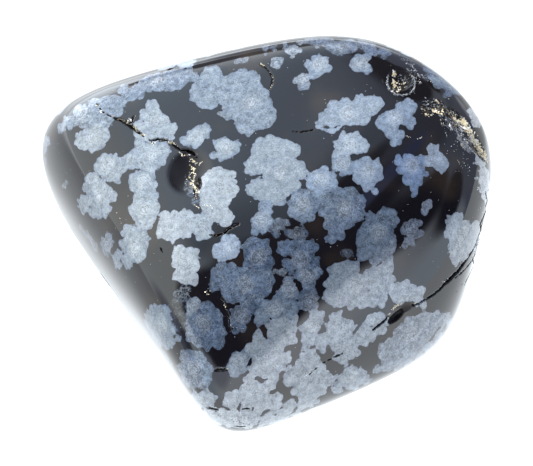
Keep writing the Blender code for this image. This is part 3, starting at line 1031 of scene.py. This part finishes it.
class BreakPattern:
    """The chips and the cracks, which give the skin its relief."""

    def __init__(self):
        self.chips = [Chip(*chip) for chip in CHIPS.values()]
        self.cracks = [
            (skin_path(pixels), width / 2 / PIXELS_PER_MM, depth) for pixels, width, depth in CRACKS.values()
        ]

    def wanted_length(self, points, inside):
        """The longest edge that the relief and the snowflakes' rims allow at each point."""
        shown = (skin_normals(points) * unit(camera_point() - points)).sum(axis=1) > 0.0
        wanted = np.where(shown & (np.abs(inside) < RIM_BAND), RIM_EDGE, PLAIN_EDGE)
        for chip in self.chips:
            local = chip.locate(points)
            within = (np.hypot(local[:, 0], local[:, 1]) < CHIP_MARGIN) & (np.abs(local[:, 2]) < 2.0)
            wanted[within] = BREAK_EDGE if chip.ridges else RIM_EDGE
        for path, half_width, _ in self.cracks:
            near = near_path(points, path, CRACK_REACH)
            gap, _ = path_distances(points[near], path)
            wanted[near[gap < half_width + CRACK_MARGIN]] = CRACK_EDGE
        return wanted

    def carve(self, points, normals):
        """The skin's points with chips and cracks cut in, and what each break did to them."""
        marks = {name: np.zeros(len(points)) for name in MARKS}
        for chip in self.chips:
            drop = chip.drops(points)
            points = points - drop[:, None] * chip.upward
            if not chip.ridges:
                marks["hollow"] = np.maximum(marks["hollow"], np.clip(drop / chip.depth * 1.15, 0.0, 1.0))
                continue
            touched = np.flatnonzero(drop > 0.0)
            depth = np.clip(drop[touched] / chip.depth, 0.0, 1.0)
            offset = (points[touched] - chip.centre) @ chip.axes.T
            marks["broken"][touched] = np.maximum(marks["broken"][touched], np.clip(depth * 6, 0, 1))
            marks["bright"][touched] = np.maximum(marks["bright"][touched], chip.brightness)
            marks["run"][touched] = offset[:, 0]
            marks["side"][touched] = offset[:, 1]
            for index, share, (run, side, _) in zip(touched, depth, offset):
                ridge = abs(noise.noise(Vector((run * 0.9, side * 5.0, 2.7)))) * 2.0
                splinter = noise.noise(Vector((run * 3.0, side * 11.0, 7.1)))
                lift = chip.ridges * min(share * 4, 1.0) * (ridge + 0.7 * splinter - 0.3)
                points[index] += chip.upward * min(lift, drop[index] * 0.9)
        for path, half_width, depth in self.cracks:
            near = near_path(points, path, CRACK_REACH)
            gap, share = path_distances(points[near], path)
            waver = np.array([noise.noise(Vector(point)) for point in points[near] * 6.0])
            width = half_width * taper(share, 5, 0.1)
            openness = np.clip(1.0 - (gap + 0.06 * waver) / np.maximum(width, 1e-6), 0.0, 1.0)
            marks["cracked"][near] = np.maximum(marks["cracked"][near], openness)
            points[near] -= normals[near] * (depth * np.sqrt(openness))[:, None]
        return points, marks


def refine(build, breaks, flakes):
    """Halves each edge that is longer than the detail round it allows."""
    points = skin_points(looks_of(build))
    ends = np.array([[vertex.index for vertex in edge.verts] for edge in build.edges])
    lengths = np.linalg.norm(points[ends[:, 0]] - points[ends[:, 1]], axis=1)
    inside = flakes.measure(points)[0]
    wanted = breaks.wanted_length(points, inside)
    split = lengths > EDGE_SLACK * np.minimum(wanted[ends[:, 0]], wanted[ends[:, 1]])
    edges = [edge for edge, long in zip(build.edges, split) if long]
    bmesh.ops.subdivide_edges(build, edges=edges, cuts=1)
    bmesh.ops.triangulate(build, faces=[face for face in build.faces if len(face.verts) > 3])
    build.verts.index_update()
    build.edges.index_update()


def mesh_of(build, name):
    """The mesh that a bmesh holds. The bmesh is freed."""
    mesh = bpy.data.meshes.new(name)
    build.to_mesh(mesh)
    build.free()
    return mesh


def add_attribute(mesh, name, values):
    """Gives each point of a mesh a value that its material reads."""
    attribute = mesh.attributes.new(name, "FLOAT", "POINT")
    attribute.data.foreach_set("value", np.asarray(values, np.float32))


def link(piece):
    bpy.context.scene.collection.objects.link(piece)
    return piece


def dress(piece):
    """Declares a piece of the pebble: it goes with the one body and stands for the one solid."""
    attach(piece, "root")
    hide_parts("stone")


class NodeTree:
    """Shader nodes, added one line each. A socket given as a value is linked."""

    def __init__(self, tree):
        self.tree = tree

    def add(self, kind, inputs=None, **settings):
        """A new node, with its settings made and its sockets linked or set."""
        node = self.tree.nodes.new(kind)
        for name, value in settings.items():
            setattr(node, name, value)
        for name, value in (inputs or {}).items():
            socket = node.inputs[name]
            if isinstance(value, bpy.types.NodeSocket):
                self.tree.links.new(value, socket)
            else:
                socket.default_value = value
        return node

    def math(self, operation, first, second=0.0, third=0.0):
        """One operation on two or three values."""
        node = self.add("ShaderNodeMath", {0: first, 1: second, 2: third}, operation=operation)
        return node.outputs[0]

    def ramp(self, value, from_low, from_high, to_low=0.0, to_high=1.0, smooth=True):
        """The value carried from one range to another, and held at that range's ends."""
        inputs = {
            "Value": value, "From Min": from_low, "From Max": from_high, "To Min": to_low, "To Max": to_high,
        }
        kind = "SMOOTHSTEP" if smooth else "LINEAR"
        return self.add("ShaderNodeMapRange", inputs, interpolation_type=kind).outputs["Result"]

    def mix(self, share, first, second, blend="MIX"):
        """Two colours mixed by a share."""
        node = self.tree.nodes.new("ShaderNodeMix")
        node.data_type = "RGBA"
        node.blend_type = blend
        for socket, value in zip((node.inputs[0], node.inputs[6], node.inputs[7]), (share, first, second)):
            if isinstance(value, bpy.types.NodeSocket):
                self.tree.links.new(value, socket)
            elif isinstance(value, float):
                socket.default_value = value
            else:
                socket.default_value = (*value, 1.0)
        return node.outputs[2]

    def attribute(self, name):
        """A value that each point of the mesh has."""
        return self.add("ShaderNodeAttribute", attribute_name=name).outputs["Fac"]

    def grey(self, value):
        """The grey that is this light."""
        return self.add("ShaderNodeCombineColor", {0: value, 1: value, 2: value}).outputs[0]

    def noise(self, place, size, detail=2.0, roughness=0.5):
        """A soft noise about 0.5, with features of this size in the unit of the place."""
        inputs = {"Vector": place, "Scale": 1.0 / size, "Detail": detail, "Roughness": roughness}
        return self.add("ShaderNodeTexNoise", inputs).outputs["Fac"]

    def cells(self, place, size):
        """How far each place is from the middle of its cell."""
        return self.add("ShaderNodeTexVoronoi", {"Vector": place, "Scale": 1.0 / size}).outputs["Distance"]


def new_material(name):
    """A material, its nodes and its shader."""
    material = bpy.data.materials.new(name)
    material.use_nodes = True
    return material, NodeTree(material.node_tree), material.node_tree.nodes["Principled BSDF"]


def place_in_mm(nodes):
    """The surface's own coordinates, in mm, so that a texture's size is a real size."""
    place = nodes.add("ShaderNodeTexCoord").outputs["Object"]
    return nodes.add("ShaderNodeVectorMath", {0: place, "Scale": 1 / MM}, operation="SCALE").outputs[0]


def scalloped_edge(nodes, place, settings):
    """The distance inside a snowflake, with the bulges and notches of its rim."""
    depth = settings.scallop / MM
    edge = nodes.attribute("flake_inside")
    bulge = nodes.math("MULTIPLY_ADD", nodes.cells(place, 0.52), -depth, depth * 0.50)
    knobs = nodes.math("MULTIPLY_ADD", nodes.cells(place, 0.27), -depth * 0.22, depth * 0.11)
    fray = nodes.math("MULTIPLY_ADD", nodes.noise(place, 0.12, 2.0), depth * 0.12, -depth * 0.06)
    return nodes.math("ADD", edge, nodes.math("ADD", bulge, nodes.math("ADD", knobs, fray)))


def squiggles(nodes, place, size, width):
    """Thin wavy lines: where a noise passes through its middle value."""
    value = nodes.math("ABSOLUTE", nodes.math("SUBTRACT", nodes.noise(place, size, 1.5), 0.5))
    return nodes.ramp(value, 0.0, width, 1.0, 0.0)


def flake_shade(nodes, place, core, dim):
    """How light a rosette is from place to place: clouds, a fine grain, rings, dark lines and dots."""
    cloud = nodes.ramp(nodes.noise(place, 0.34, 3.0, 0.6), 0.3, 0.7, 0.72, 1.28, smooth=False)
    grain = nodes.ramp(nodes.noise(place, 0.10, 2.0, 0.6), 0.3, 0.7, 0.76, 1.24, smooth=False)
    waver = nodes.noise(place, 0.30, 2.0)
    warped = nodes.math("MULTIPLY_ADD", waver, 0.34, nodes.attribute("rosette_distance"))
    rings = nodes.math("SINE", nodes.math("MULTIPLY", warped, math.tau / 0.15))
    ringed = nodes.math("MULTIPLY_ADD", nodes.math("MULTIPLY", rings, core), 0.18, 1.0)
    lines = nodes.math("MULTIPLY_ADD", squiggles(nodes, place, 0.30, 0.022), -0.32, 1.0)
    dot_patches = nodes.ramp(nodes.noise(place, 0.5, 1.0), 0.46, 0.58)
    dotted = nodes.math("MULTIPLY", nodes.ramp(nodes.cells(place, 0.16), 0.34, 0.16), dot_patches)
    dots = nodes.math("MULTIPLY_ADD", dotted, -0.40, 1.0)
    shade = nodes.math("MULTIPLY", cloud, grain)
    shade = nodes.math("MULTIPLY", shade, nodes.math("MULTIPLY", ringed, lines))
    return nodes.math("POWER", nodes.math("MULTIPLY", shade, dots), nodes.math("MULTIPLY_ADD", dim, 0.9, 1.0))


def flake_colour(nodes, place, edge, shade, core, dim, settings):
    """The rosettes: bluer rims, seams and patches, paler cores, and white threads and specks."""
    rim = nodes.ramp(edge, 0.0, settings.rim_width / MM)
    tone = nodes.attribute("flake_tone")
    blue = nodes.attribute("flake_blue")
    bluer = nodes.math("MAXIMUM", dim, blue)
    colour = nodes.mix(bluer, tuple(settings.colour), tuple(settings.dim_colour))
    colour = nodes.mix(rim, tuple(settings.rim_colour), colour)
    seam = nodes.ramp(nodes.attribute("flake_seam"), 0.0, 0.13, 0.45, 0.0)
    patches = nodes.ramp(nodes.noise(place, 0.8, 2.0), 0.50, 0.68, 0.0, 0.7)
    colour = nodes.mix(nodes.math("MAXIMUM", seam, patches), colour, tuple(settings.rim_colour))
    # Pale tones whiten a rosette: partly its own paleness, partly a painted highlight on the rims
    frost_and_painted_highlight = nodes.ramp(tone, 1.0, 1.6, 0.0, 0.78, smooth=False)
    frost_and_painted_highlight = nodes.math("MULTIPLY", frost_and_painted_highlight, nodes.math("SUBTRACT", 1.0, blue))
    paler = nodes.math("MAXIMUM", nodes.math("MULTIPLY", core, 0.28), frost_and_painted_highlight)
    colour = nodes.mix(paler, colour, tuple(settings.core_colour))
    thread_patches = nodes.ramp(nodes.noise(place, 0.6, 1.0), 0.42, 0.60)
    threads = nodes.math("MULTIPLY", squiggles(nodes, place, 0.17, 0.030), thread_patches)
    speck_patches = nodes.ramp(nodes.noise(place, 0.30, 1.0), 0.48, 0.60)
    specks = nodes.math("MULTIPLY", nodes.ramp(nodes.cells(place, 0.12), 0.34, 0.14), speck_patches)
    bright = nodes.math("MULTIPLY", specks, nodes.ramp(core, 0.0, 1.0, 0.15, 0.45))
    bright = nodes.math("MAXIMUM", bright, nodes.math("MULTIPLY", threads, 0.38))
    waver = nodes.noise(place, 0.26, 3.0)
    warped = nodes.math("MULTIPLY_ADD", waver, 0.70, nodes.attribute("rosette_distance"))
    off_ring = nodes.math("ABSOLUTE", nodes.math("SUBTRACT", warped, 0.86))
    ring_patches = nodes.ramp(nodes.noise(place, 1.2), 0.42, 0.52)
    ring = nodes.math("MULTIPLY", nodes.ramp(off_ring, 0.0, 0.035, 1.0, 0.0), ring_patches)
    bright = nodes.math("MAXIMUM", bright, nodes.math("MULTIPLY", ring, 0.30))
    bright = nodes.math("MULTIPLY", bright, nodes.ramp(tone, 0.1, 0.6, 0.2, 1.0, smooth=False))
    # Dark tones darken a rosette: partly its own tone, partly painted shade
    toned = nodes.math("MULTIPLY", shade, nodes.math("MINIMUM", tone, nodes.math("ADD", blue, 1.0)))
    colour = nodes.mix(1.0, colour, nodes.grey(toned), "MULTIPLY")
    return nodes.mix(bright, colour, tuple(settings.core_colour))


def break_colour(nodes, colour, settings):
    """The broken glass: black, with bright streaks that run along the break."""
    broken = nodes.attribute("broken")
    colour = nodes.mix(nodes.ramp(broken, 0.2, 0.8), colour, tuple(settings.glass.colour))
    run = nodes.math("MULTIPLY", nodes.attribute("run"), 0.28)
    along = nodes.add("ShaderNodeCombineXYZ", {0: run, 1: nodes.attribute("side")}).outputs[0]
    streaks = nodes.ramp(nodes.noise(along, 0.085, 3.0, 0.6), 0.53, 0.62)
    amount = nodes.math("MULTIPLY", nodes.math("MULTIPLY", streaks, nodes.attribute("bright")), broken)
    stain = nodes.ramp(nodes.noise(along, 0.4, 2.0), 0.42, 0.58)
    tint = nodes.mix(stain, tuple(settings.crumbs.pale), tuple(settings.crumbs.cream))
    return nodes.mix(nodes.math("MULTIPLY", amount, 0.9), colour, tint)


GLASS_IOR = 1.5
# The black painted into the cracks, as painted shade in them
CRACK_SHADE_BLACK = (0.004, 0.003, 0.003)
GRAIN_ROUGHNESS = 0.28


def make_stone_material(settings):
    """Polished black glass with snowflakes in it, broken in the chips, with painted shade in the cracks and
    in the polished hollow.
    """
    material, nodes, shader = new_material("Polished snowflake obsidian")
    place = place_in_mm(nodes)
    edge = scalloped_edge(nodes, place, settings.flakes)
    softness = settings.flakes.softness / MM
    flake = nodes.ramp(edge, -softness / 2, softness / 2)
    clear = nodes.ramp(nodes.noise(place, 0.16, 3.0, 0.65), 0.40, 0.60, 0.95, 0.35)
    clear = nodes.math("MULTIPLY", clear, nodes.attribute("flake_thin"))
    flake = nodes.math("MULTIPLY", flake, nodes.math("SUBTRACT", 1.0, clear))
    stain = nodes.ramp(nodes.noise(place, 5.0, 2.0), 0.50, 0.75)
    glass = nodes.mix(stain, tuple(settings.glass.colour), tuple(settings.glass.thin_colour))
    pinholes = nodes.ramp(nodes.cells(place, 0.42), 0.060, 0.035, 0.0, 0.5)
    glass = nodes.mix(pinholes, glass, tuple(settings.crumbs.pale))
    core = nodes.ramp(nodes.attribute("rosette_distance"), 0.20, 0.80, 1.0, 0.0)
    # Low tones, which are partly painted shade, also turn a rosette bluer and make its texture stronger
    dim = nodes.ramp(nodes.attribute("flake_tone"), 0.95, 0.45, smooth=False)
    shade = flake_shade(nodes, place, core, dim)
    colour = nodes.mix(flake, glass, flake_colour(nodes, place, edge, shade, core, dim, settings.flakes))
    colour = break_colour(nodes, colour, settings)
    # Painted shade: the cracks are painted black
    cracked = nodes.ramp(nodes.attribute("cracked"), 0.0, 0.30)
    colour = nodes.mix(cracked, colour, CRACK_SHADE_BLACK)
    material.node_tree.links.new(colour, shader.inputs["Base Color"])
    polish = nodes.math("MULTIPLY_ADD", flake, 0.13, settings.glass.roughness)
    matt = nodes.math("POWER", nodes.attribute("hollow"), 0.4)
    polish = nodes.math("MULTIPLY_ADD", matt, 0.45, polish)
    worn = nodes.math("MAXIMUM", nodes.attribute("broken"), cracked)
    spread = settings.glass.broken_roughness - settings.glass.roughness
    material.node_tree.links.new(nodes.math("MULTIPLY_ADD", worn, spread, polish), shader.inputs["Roughness"])
    flake_shine = nodes.ramp(shade, 0.4, 1.6, 0.55 * settings.flakes.shine, 1.45 * settings.flakes.shine)
    shine = nodes.math("MULTIPLY_ADD", flake, nodes.math("SUBTRACT", flake_shine, 0.5), 0.5)
    # Painted shade: a crack's mirror is mostly cut, so that it stays dark
    shine = nodes.math("MULTIPLY", shine, nodes.math("MULTIPLY_ADD", cracked, -0.85, 1.0))
    # Broken glass mirrors less; the polished hollow's mirror is weakened too, as painted shade in it
    dulled_breaks_and_shaded_hollow = nodes.math("MULTIPLY_ADD", nodes.attribute("hollow"), 0.5, nodes.attribute("broken"))
    shine = nodes.math("MULTIPLY", shine, nodes.math("MULTIPLY_ADD", dulled_breaks_and_shaded_hollow, -0.75, 1.0))
    material.node_tree.links.new(shine, shader.inputs["Specular IOR Level"])
    shader.inputs["IOR"].default_value = GLASS_IOR
    shader.inputs["Metallic"].default_value = 0.0
    height = nodes.math("MULTIPLY_ADD", nodes.attribute("broken"), 0.8, 0.008)
    grit = nodes.math("MULTIPLY", nodes.noise(place, 0.10, 3.0), height)
    bump = nodes.add("ShaderNodeBump", {"Height": grit, "Strength": 1.0, "Distance": 0.06 * MM})
    material.node_tree.links.new(bump.outputs["Normal"], shader.inputs["Normal"])
    return material


def make_crumb_material(settings):
    """Broken grains: some dark glass, some rusty or stained cream, some clean and pale, some dull grey."""
    material, nodes, shader = new_material("Broken grains")
    kind = nodes.attribute("grain_kind")
    colour = nodes.mix(nodes.ramp(kind, 0.1, 0.9), tuple(settings.dark), tuple(settings.rust))
    colour = nodes.mix(nodes.ramp(kind, 1.1, 1.9), colour, tuple(settings.cream))
    colour = nodes.mix(nodes.ramp(kind, 2.1, 2.9), colour, tuple(settings.pale))
    colour = nodes.mix(nodes.ramp(kind, 3.1, 3.9), colour, tuple(settings.ash))
    place = place_in_mm(nodes)
    dust = nodes.ramp(nodes.noise(place, 0.05, 2.0), 0.35, 0.65, 0.62, 1.1, smooth=False)
    colour = nodes.mix(1.0, colour, nodes.grey(dust), "MULTIPLY")
    material.node_tree.links.new(colour, shader.inputs["Base Color"])
    shader.inputs["Roughness"].default_value = GRAIN_ROUGHNESS
    shader.inputs["IOR"].default_value = GLASS_IOR
    return material


def world_spot(nodes, look, colour, towards, half_angle, softness, spot_colour):
    """The colour, with a round soft-edged spot of another colour at a direction of the sky."""
    inputs = {0: look, 1: tuple(towards)}
    dot = nodes.add("ShaderNodeVectorMath", inputs, operation="DOT_PRODUCT").outputs["Value"]
    outer = math.cos(math.radians(half_angle + softness))
    inner = math.cos(math.radians(max(half_angle - softness, 0.0)))
    return nodes.mix(nodes.ramp(dot, outer, inner), colour, spot_colour)


# The little light that comes from the camera's opening, and from a gap between two cloths
DARK = (0.03, 0.03, 0.07)
GAP = (0.06, 0.06, 0.07)
# What the polished glass mirrors: compass angle, rise, half angle, softness, light. Where spots
# overlap, the later one covers the earlier
SKY_SPOTS = {
    "bright cloth low at the back": (112, 4, 30, 10, (3.7, 4.0, 4.4)),
    "brightest cloth at the back left": (127, 8, 20, 3, (6.1, 6.7, 7.4)),
    "dim end of the cloth at the back": (98, 4, 5.5, 2, (1.1, 1.2, 1.5)),
    "dark seam low at the back": (106, 21, 7, 2, (0.34, 0.36, 0.42)),
    "low end of that seam": (98, 10, 7, 2, (0.6, 0.65, 0.75)),
    "right end of that seam": (92, 17, 9, 3, (1.0, 1.1, 1.3)),
    "low cloth on the left": (182, 28, 34, 14, (2.75, 2.93, 2.98)),
    "dark seam low on the left": (203, 4, 12, 7, (0.75, 0.85, 1.15)),
    "dim right side": (15, 40, 65, 7, (0.66, 0.76, 1.04)),
    "pale cloth low at the right": (40, 3, 8, 5, (2.0, 2.1, 2.4)),
    "dark seam beside the nose": (210, 14, 5, 4, (0.3, 0.35, 0.5)),
    "low cloth in front": (285, 8, 38, 12, (3.15, 3.35, 3.65)),
    "dim cloth at the front left": (250, 30, 13, 6, (1.7, 1.85, 2.25)),
    "low cloth at the front right": (328, 0, 14, 4, (2.5, 2.85, 3.3)),
    "dim cloth overhead": (345, 70, 24, 8, (0.34, 0.38, 0.52)),
    "paler patch at the back right": (36, 56, 8, 6, (1.1, 1.2, 1.4)),
    "dark gap at the back": (84, 60, 14, 2.5, GAP),
    "low end of that gap": (95, 47, 5, 2, GAP),
    "right end of that gap": (60, 45, 7, 2, GAP),
    "shade beside the opening": (165, 74, 7, 6, (0.7, 0.9, 1.15)),
    "camera opening, left end": (225, 48, 17, 3, DARK),
    "camera opening, upper left": (240, 62, 20, 3, DARK),
    "camera opening, lower left": (248, 46, 14.5, 3, DARK),
    "camera opening, top": (200, 80, 9.5, 2, DARK),
    "camera opening, middle": (270, 60, 23, 3, DARK),
    "camera opening, right": (290, 48, 21, 3, DARK),
    "camera opening, lower right": (312, 36, 10.5, 3.5, DARK),
    "camera opening, right end": (325, 29, 8, 2, DARK),
    "camera opening, far right end": (335, 18, 7, 2, DARK),
    "blue of the lens": (318, 70, 7, 4, (0.30, 0.38, 0.80)),
}

# Where the key light comes from, as compass angle and rise, and how wide it looks, all in degrees
KEY_WAY = (120, 52)
KEY_WIDTH = 40
# The floor is a disc of this radius, in metres, with this many corners
FLOOR_RADIUS = 3.0
FLOOR_CORNERS = 96
# The camera sees nothing nearer than this
NEAREST_SEEN = 10 * MM


def make_world(settings):
    """The studio tent: white cloth all round, a dim right side and the dark camera opening."""
    world = bpy.data.worlds.new("Studio tent")
    bpy.context.scene.world = world
    world.use_nodes = True
    tree = world.node_tree
    nodes = NodeTree(tree)
    look = nodes.add("ShaderNodeTexCoord").outputs["Generated"]
    colour = tuple(settings.tent)
    for compass, rise, half_angle, softness, light in SKY_SPOTS.values():
        colour = world_spot(nodes, look, colour, way(compass, rise), half_angle, softness, light)
    direct = nodes.add("ShaderNodeLightPath").outputs["Is Camera Ray"]
    colour = nodes.mix(direct, colour, (1.0, 1.0, 1.0))
    tree.links.new(colour, tree.nodes["Background"].inputs["Color"])


def make_floor(settings):
    """A plain pale floor that glows brighter in front and far behind on the left, less elsewhere, with a
    painted contact shadow in its glow near the pebble's left.
    """
    material, nodes, shader = new_material("Floor")
    axes = nodes.add("ShaderNodeSeparateXYZ", {0: place_in_mm(nodes)}).outputs
    diagonal = nodes.math("SUBTRACT", axes["X"], axes["Y"])
    far_behind = nodes.ramp(axes["Y"], 16, 60)
    far_left = nodes.math("MULTIPLY", far_behind, nodes.ramp(axes["X"], -14, -28, 0.1, 1.0))
    glow = nodes.math("MULTIPLY_ADD", far_left, 2.2, nodes.ramp(diagonal, -20, 14, 1.25, 2.3))
    far_right = nodes.math("MULTIPLY", nodes.ramp(axes["X"], 19, 28), nodes.ramp(axes["Y"], 14, 23))
    glow = nodes.math("MULTIPLY", glow, nodes.math("MULTIPLY_ADD", far_right, -0.6, 1.0))
    y_squared = nodes.math("POWER", axes["Y"], 2.0)
    span = nodes.math("SQRT", nodes.math("MULTIPLY_ADD", axes["X"], axes["X"], y_squared))
    # Painted contact shadow: the glow is dimmed near the pebble's left side
    painted_shadow_near_left = nodes.math("MULTIPLY", nodes.ramp(span, 31, 19), nodes.ramp(axes["X"], -8, -14))
    glow = nodes.math("MULTIPLY", glow, nodes.math("MULTIPLY_ADD", painted_shadow_near_left, -0.18, 1.0))
    material.node_tree.links.new(glow, shader.inputs["Emission Strength"])
    shader.inputs["Base Color"].default_value = (*settings.floor, 1.0)
    shader.inputs["Roughness"].default_value = 0.9
    shader.inputs["Emission Color"].default_value = (*settings.floor_glow, 1.0)
    build = bmesh.new()
    bmesh.ops.create_circle(build, cap_ends=True, segments=FLOOR_CORNERS, radius=FLOOR_RADIUS)
    mesh = mesh_of(build, "Floor")
    mesh.materials.append(material)
    floor = link(bpy.data.objects.new("Floor", mesh))


def make_key_light(settings):
    """A wide lamp behind the cloth at the back left, which the polished glass doesn't mirror."""
    lamp = bpy.data.lights.new("Key light", "SUN")
    lamp.energy = settings.key_strength
    lamp.color = settings.key
    lamp.angle = math.radians(KEY_WIDTH)
    stand = link(bpy.data.objects.new("Key light", lamp))
    stand.rotation_euler = Vector(way(*KEY_WAY)).to_track_quat("Z", "Y").to_euler()
    stand.visible_glossy = False


def make_camera(settings):
    """A long lens at the photograph's viewing angle."""
    camera = bpy.data.cameras.new("Camera")
    camera.sensor_width = SENSOR_WIDTH
    camera.lens = SENSOR_WIDTH * (settings.distance / MM) * PIXELS_PER_MM / PHOTO_WIDTH
    camera.clip_start = NEAREST_SEEN
    right, up, towards = view_axes()
    stand = link(bpy.data.objects.new("Camera", camera))
    turn = Matrix((right, up, towards)).transposed().to_4x4()
    stand.matrix_world = Matrix.Translation(Vector(to_frame(camera_point()))) @ turn
    bpy.context.scene.camera = stand


class OBSIDIAN_OT_stage(bpy.types.Operator):
    """Set up the camera, the studio tent, the pale floor and the key light"""

    bl_idname = "obsidian.stage"
    bl_label = "Studio"
    bl_options = {"REGISTER", "UNDO"}

    def execute(self, context):
        settings = context.scene.obsidian.studio
        context.scene.view_settings.view_transform = "Standard"
        make_camera(settings)
        make_world(settings)
        make_floor(settings)
        make_key_light(settings)
        return {"FINISHED"}


class OBSIDIAN_OT_stone(bpy.types.Operator):
    """Build the polished pebble with its snowflakes, chips and cracks"""

    bl_idname = "obsidian.stone"
    bl_label = "Pebble"
    bl_options = {"REGISTER", "UNDO"}

    def execute(self, context):
        settings = context.scene.obsidian
        flakes = SnowflakePattern(settings.flakes)
        breaks = BreakPattern()
        build = make_ball(BALL_SUBDIVISIONS)
        for _ in range(REFINEMENTS):
            refine(build, breaks, flakes)
        points = skin_points(looks_of(build))
        inside, seam, rosette, flake = flakes.measure(points)
        points, marks = breaks.carve(points, skin_normals(points))
        points[:, 2] = np.maximum(points[:, 2], base_skin()["level"])
        for vertex, point in zip(build.verts, np.clip(to_frame(points), *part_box("stone"))):
            vertex.co = point
        mesh = mesh_of(build, "polished_stone")
        if len(mesh.polygons) > MOST_TRIANGLES:
            raise RuntimeError(f"the pebble has {len(mesh.polygons)} triangles")
        mesh.shade_smooth()
        count = flake.max() + 1
        thin = np.array([name in THIN_FLAKES for name in SNOWFLAKES] + [False] * count)
        add_attribute(mesh, "flake_inside", inside)
        add_attribute(mesh, "flake_seam", np.clip(seam, 0.0, 1.0))
        add_attribute(mesh, "rosette_distance", rosette)
        add_attribute(mesh, "flake_tone", per_flake(FLAKE_TONES, 1.0, count, 0.8, 1.2)[flake])
        add_attribute(mesh, "flake_blue", per_flake(FLAKE_BLUES, 0.0, count, 0.0, 0.4)[flake])
        add_attribute(mesh, "flake_thin", thin[flake])
        for name, values in marks.items():
            add_attribute(mesh, name, values)
        mesh.materials.append(make_stone_material(settings))
        dress(link(bpy.data.objects.new("polished_stone", mesh)))
        return {"FINISHED"}


# The grains of a trail beside its size, the smallest and the largest
GRAIN_SIZES = (0.4, 1.0)
# How a grain lies: its turn and its tilt in radians, and then as shares of its size how deep it sinks,
# how far its corners stray and how thick it is
GRAIN_TURN = 0.35
GRAIN_TILT = 0.4
GRAIN_SINK = 0.14
GRAIN_STRAY = 0.16
GRAIN_THICKNESS = (0.4, 0.8)


def crumb_places(trails, surface, draw):
    """For each crumb of some trails: its place and normal on the finished pebble, its run and size."""
    right, up, _ = view_axes()
    eye = Vector(to_frame(camera_point()))
    for pixels, spread, count, size, stretch, kinds in trails:
        corners = np.array(pixels, float)
        lengths = np.linalg.norm(np.diff(corners, axis=0), axis=1)
        for _ in range(count):
            part = draw.choices(range(len(lengths)), lengths)[0]
            ahead = corners[part + 1] - corners[part]
            x, y = corners[part] + ahead * draw.random()
            x += draw.gauss(0, spread / 2)
            y += draw.gauss(0, spread / 2)
            kind = draw.choices(range(5), GRAIN_SHARES[kinds])[0]
            grain = size * draw.uniform(*GRAIN_SIZES) / PIXELS_PER_MM * MM
            long = draw.uniform(1.0, stretch)
            target = Vector(to_frame(point_at_pixel(x, y)))
            place, normal, _, _ = surface.ray_cast(eye, target - eye)
            if place is None:
                continue
            run = Vector(right * ahead[0] - up * ahead[1]).normalized()
            yield place, normal, run, grain, long, kind


def add_crumb(build, place, normal, run, size, long, draw):
    """One angular grain, half sunk in the break, longer along the break's run."""
    run = (run - normal * run.dot(normal)).normalized()
    turn = Matrix((run, normal.cross(run), normal)).transposed().to_4x4()
    spin = Matrix.Rotation(draw.gauss(0, GRAIN_TURN), 4, "Z")
    spin = spin @ Matrix.Rotation(draw.gauss(0, GRAIN_TILT), 4, "Y")
    scale = Matrix.Diagonal((size / 2 * long, size / 2, size / 2 * draw.uniform(*GRAIN_THICKNESS), 1.0))
    place_matrix = Matrix.Translation(place - normal * size * GRAIN_SINK) @ turn @ spin @ scale
    made = bmesh.ops.create_icosphere(build, subdivisions=1, radius=1.0, matrix=place_matrix)
    for vertex in made["verts"]:
        vertex.co += Vector([draw.uniform(-GRAIN_STRAY, GRAIN_STRAY) * size for _ in range(3)])
    return len(made["verts"])


class OBSIDIAN_OT_crumbs(bpy.types.Operator):
    """Add the grains of broken glass in the chips and along the cracks"""

    bl_idname = "obsidian.crumbs"
    bl_label = "Broken grains"
    bl_options = {"REGISTER", "UNDO"}

    def execute(self, context):
        stone = bpy.data.objects.get("polished_stone")
        if stone is None:
            raise RuntimeError("the grains lie on the pebble, so it is built first")
        surface = BVHTree.FromObject(stone, context.evaluated_depsgraph_get())
        material = make_crumb_material(context.scene.obsidian.crumbs)
        low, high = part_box("stone")
        for number, (name, trails) in enumerate(CRUMB_TRAILS.items()):
            draw = random.Random(GRAIN_SEED + number)
            build = bmesh.new()
            kinds = []
            for *shape, kind in crumb_places(trails, surface, draw):
                kinds += [kind] * add_crumb(build, *shape, draw)
            title = "grains_" + name.replace(" ", "_")
            for vertex in build.verts:
                vertex.co = np.clip(vertex.co, low, high)
            mesh = mesh_of(build, title)
            add_attribute(mesh, "grain_kind", kinds)
            mesh.materials.append(material)
            dress(link(bpy.data.objects.new(title, mesh)))
        return {"FINISHED"}


class OBSIDIAN_PT_panel(bpy.types.Panel):
    """The sidebar's list of what can be built"""

    bl_idname = "OBSIDIAN_PT_panel"
    bl_label = "Snowflake obsidian"
    bl_space_type = "VIEW_3D"
    bl_region_type = "UI"
    bl_category = "Obsidian"

    def draw(self, context):
        settings = context.scene.obsidian
        for operator, group in (
            (OBSIDIAN_OT_stage, settings.studio),
            (OBSIDIAN_OT_stone, settings.glass),
            (OBSIDIAN_OT_stone, settings.flakes),
            (OBSIDIAN_OT_crumbs, settings.crumbs),
        ):
            column = self.layout.column(align=True)
            column.operator(operator.bl_idname)
            for name in group.__annotations__:
                column.prop(group, name)


CLASSES = (
    ObsidianGlassSettings,
    ObsidianFlakeSettings,
    ObsidianCrumbSettings,
    ObsidianStudioSettings,
    ObsidianSettings,
    OBSIDIAN_OT_stage,
    OBSIDIAN_OT_stone,
    OBSIDIAN_OT_crumbs,
    OBSIDIAN_PT_panel,
)


def register():
    for kind in CLASSES:
        bpy.utils.register_class(kind)
    bpy.types.Scene.obsidian = bpy.props.PointerProperty(type=ObsidianSettings)


def unregister():
    del bpy.types.Scene.obsidian
    for kind in reversed(CLASSES):
        bpy.utils.unregister_class(kind)


def main():
    register()
    bpy.ops.obsidian.stage()
    bpy.ops.obsidian.stone()
    bpy.ops.obsidian.crumbs()


if __name__ == "__main__":
    main()
